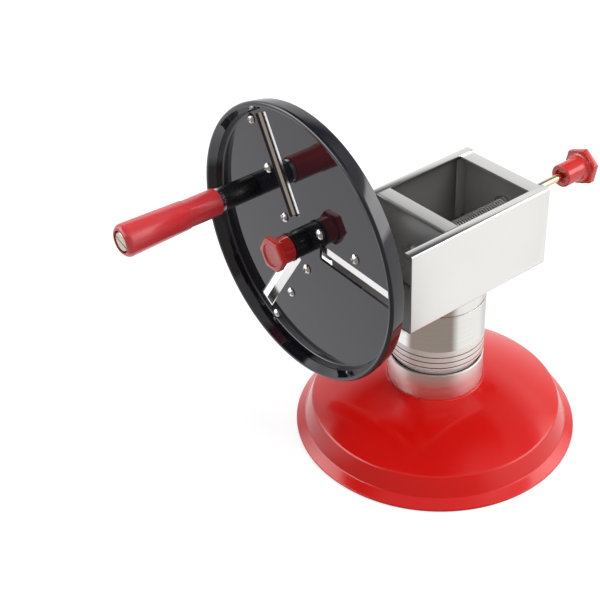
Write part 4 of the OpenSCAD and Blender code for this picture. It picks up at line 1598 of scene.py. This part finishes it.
@dataclass(frozen=True)
class Softbox:
    """Soft rectangular light: bearings of its sides in degrees, heights of its edges from -1 to 1."""

    left: float
    right: float
    low: float
    high: float
    strength: float
    soft_sides: float = 24.0
    soft_low: float = 0.08
    soft_high: float = 0.04

    def over(self, nodes: Nodes, under: Socket, bearing: Socket, height: Socket) -> Socket:
        """Adds the light to the colour under it, by a direction's bearing and height.

        Args:
            nodes: Node tree of the world.
            under: Colour under the light.
            bearing: Bearing of the direction, from 0 to 1.
            height: Height of the direction, from -1 to 1.

        Returns:
            The colour with the light on it.
        """
        colours = (BLACK, WHITE, WHITE, BLACK)
        sides = (self.left - self.soft_sides, self.left, self.right, self.right + self.soft_sides)
        levels = (self.low - self.soft_low, self.low, self.high - self.soft_high, self.high)
        across = nodes.ramp(bearing, list(zip(map(bearing_share, sides), colours)))
        upward = nodes.ramp(height, list(zip(levels, colours)))
        both = nodes.add("VectorMath", {0: across, 1: upward}, operation="MULTIPLY").outputs[0]
        inputs = {0: both, 1: (self.strength,) * 3, 2: under}
        return nodes.add("VectorMath", inputs, operation="MULTIPLY_ADD").outputs[0]


@dataclass
class Studio:
    """Floor, lamps, surroundings and camera."""

    position: Place = (0.5382, -0.5321, 0.6534)
    azimuth: float = 53.129
    elevation: float = 35.498
    roll: float = -2.753
    lens: float = 73.84
    sensor: float = 36.0
    nearest: float = 0.05
    farthest: float = 30.0
    floor_size: float = 12.0
    floor_z: float = -0.0003
    floor_colour: Colour = (0.80, 0.80, 0.80)
    floor_shadow: Colour = (0.34, 0.34, 0.34)
    floor_glow: float = 0.74
    ambient: float = 0.50
    ceiling_from: float = 0.50
    ceiling_to: float = 0.68
    left: Colour = (1.10, 1.09, 1.12)
    dim: Colour = (0.33, 0.28, 0.25)
    near: Colour = (0.98, 0.98, 0.97)
    bright: Colour = (1.05, 1.04, 1.02)
    pale: Colour = (0.76, 0.76, 0.75)
    rear: Colour = (1.02, 1.02, 1.02)
    ceiling: Colour = (0.03, 0.03, 0.03)
    softboxes: tuple[Softbox, ...] = (
        Softbox(left=-50.0, right=50.0, low=0.62, high=0.955, strength=0.55),
        Softbox(left=62.0, right=130.0, low=0.46, high=0.86, strength=0.40),
        Softbox(left=70.0, right=100.0, low=0.22, high=0.62, strength=3.2),
        Softbox(left=-108.0, right=-70.0, low=0.22, high=0.66, strength=4.2),
    )
    lamp_aim: Place = (0.0, 0.0, 0.12)

    def camera(self) -> None:
        """Places the camera by its direction and roll."""
        turn = Matrix.Rotation(math.radians(self.azimuth), 4, "Z")
        tilt = Matrix.Rotation(math.radians(90 - self.elevation), 4, "X")
        roll = Matrix.Rotation(math.radians(self.roll), 4, "Z")
        data = bpy.data.cameras.new("view")
        data.lens = self.lens
        data.sensor_width = self.sensor
        data.clip_start = self.nearest
        data.clip_end = self.farthest
        camera = bpy.data.objects.new("view", data)
        camera.matrix_world = Matrix.Translation(self.position) @ turn @ tilt @ roll
        bpy.context.scene.collection.objects.link(camera)
        bpy.context.scene.camera = camera

    def bearing(self, nodes: Nodes, vector: Socket) -> Socket:
        """Compass bearing of a vector: a half in front, more to the right, from 0 to 1.

        Args:
            nodes: Node tree.
            vector: The vector.

        Returns:
            The bearing.
        """
        a = math.radians(self.azimuth)
        axes = ((math.cos(a), math.sin(a), 0), (math.sin(a), -math.cos(a), 0))
        parts = [nodes.vector("DOT_PRODUCT", vector, axis).outputs["Value"] for axis in axes]
        inputs = {0: nodes.maths("ARCTAN2", *parts), 1: 1 / math.tau, 2: 0.5}
        return nodes.add("Math", inputs, operation="MULTIPLY_ADD").outputs[0]

    def room(self, nodes: Nodes, vector: Socket) -> Socket:
        """Colour of the room round the table, darker in front than at the sides.

        Args:
            nodes: Node tree.
            vector: Direction or place as seen from the object.

        Returns:
            The colour.
        """
        stops = (
            (-180, self.rear), (-140, self.left), (-76, self.left), (-62, self.dim), (26, self.dim),
            (42, self.near), (60, self.bright), (100, self.bright), (124, self.pale), (180, self.rear),
        )
        places = [(bearing_share(degrees), colour) for degrees, colour in stops]
        return nodes.ramp(self.bearing(nodes, vector), places)

    def floor(self) -> None:
        """Lays the pale floor, which keeps the object's shadow and mirrors as the room does."""
        clear()
        bpy.ops.mesh.primitive_plane_add(size=self.floor_size, location=(0, 0, self.floor_z))
        plane = bpy.context.object
        plane.name = "floor"
        material = bpy.data.materials.new("floor")
        material.use_nodes = True
        nodes = Nodes(material.node_tree)
        rays = nodes.add("LightPath").outputs
        plain = nodes.add("BsdfDiffuse", {"Color": solid(self.floor_colour)}).outputs[0]
        shadow = nodes.add("BsdfDiffuse", {"Color": solid(self.floor_shadow)}).outputs[0]
        lit = nodes.add("AddShader", {0: shadow, 1: nodes.glow(WHITE, self.floor_glow)}).outputs[0]
        mirrored = nodes.glow(self.room(nodes, nodes.add("TexCoord").outputs["Object"]), 1.0)
        shader = nodes.chosen(rays["Is Glossy Ray"], plain, mirrored)
        shader = nodes.chosen(rays["Is Transmission Ray"], shader, lit)
        shader = nodes.chosen(rays["Is Camera Ray"], shader, lit)
        nodes.add("OutputMaterial", {"Surface": shader})
        plane.data.materials.append(material)

    def surroundings(self) -> None:
        """White surroundings whose reflection is a room with a dark ceiling and soft lights."""
        world = bpy.data.worlds.new("studio")
        bpy.context.scene.world = world
        world.use_nodes = True
        nodes = Nodes(world.node_tree)
        rays = nodes.add("LightPath").outputs
        place = nodes.add("TexCoord").outputs["Generated"]
        height = nodes.add("SeparateXYZ", {0: place}).outputs["Z"]
        stops = ((0.0, BLACK), (self.ceiling_from, BLACK), (self.ceiling_to, WHITE), (1.0, WHITE))
        sky = nodes.mixed(nodes.ramp(height, stops), self.room(nodes, place), self.ceiling)
        bearing = self.bearing(nodes, place)
        for softbox in self.softboxes:
            sky = softbox.over(nodes, sky, bearing, height)
        shader = nodes.chosen(rays["Is Glossy Ray"], nodes.glow(WHITE, self.ambient), nodes.glow(sky, 1.0))
        shader = nodes.chosen(rays["Is Camera Ray"], shader, nodes.glow(WHITE, 1.0))
        nodes.add("OutputWorld", {"Surface": shader})

    def lamp(self, name: str, place: Place, size: float, power: float) -> None:
        """Adds a soft lamp that faces the hopper.

        Args:
            name: Name of the lamp.
            place: Its place.
            size: Its diameter in metres.
            power: Its power in watts.
        """
        data = bpy.data.lights.new(name, "AREA")
        data.shape = "DISK"
        data.size = size
        data.energy = power
        lamp = bpy.data.objects.new(name, data)
        aim = (Vector(self.lamp_aim) - Vector(place)).to_track_quat("-Z", "Y")
        lamp.matrix_world = Matrix.Translation(place) @ aim.to_matrix().to_4x4()
        lamp.visible_glossy = False
        bpy.context.scene.collection.objects.link(lamp)

    def build(self) -> None:
        """Sets the whole studio up."""
        self.camera()
        self.floor()
        self.surroundings()
        self.lamp("key", place=(-0.8, 0.3, 2.0), size=1.3, power=25.0)
        self.lamp("fill", place=(1.1, 0.5, 1.8), size=1.4, power=30.0)
        bpy.context.scene.view_settings.view_transform = "Standard"


def dress_nodes() -> None:
    """Puts a finish on each node of the frame, seen or replaced."""
    slots = {part["node"]: part["material_slot"] for part in frame["record"]["subparts"]}
    for name, node in frame["nodes"].items():
        finish = SPECIAL.get(name, SLOTS[slots[name]])
        if not node.material_slots:
            node.data.materials.append(material(finish))
        for slot in node.material_slots:
            slot.material = material(finish)
        if not node.hide_render:
            LOG.info("%s keeps its shape, with %s", name, finish.name)


def main() -> None:
    """Builds every piece in order."""
    logging.basicConfig(level=logging.INFO, format="%(name)s: %(message)s")
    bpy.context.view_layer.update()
    Foot().build()
    Column().build()
    Hopper().build()
    Pusher().build()
    Disc().build()
    Grip().build()
    front_knob().build()
    rear_knob().build()
    dress_nodes()
    Studio().build()


if __name__ == "__main__":
    main()
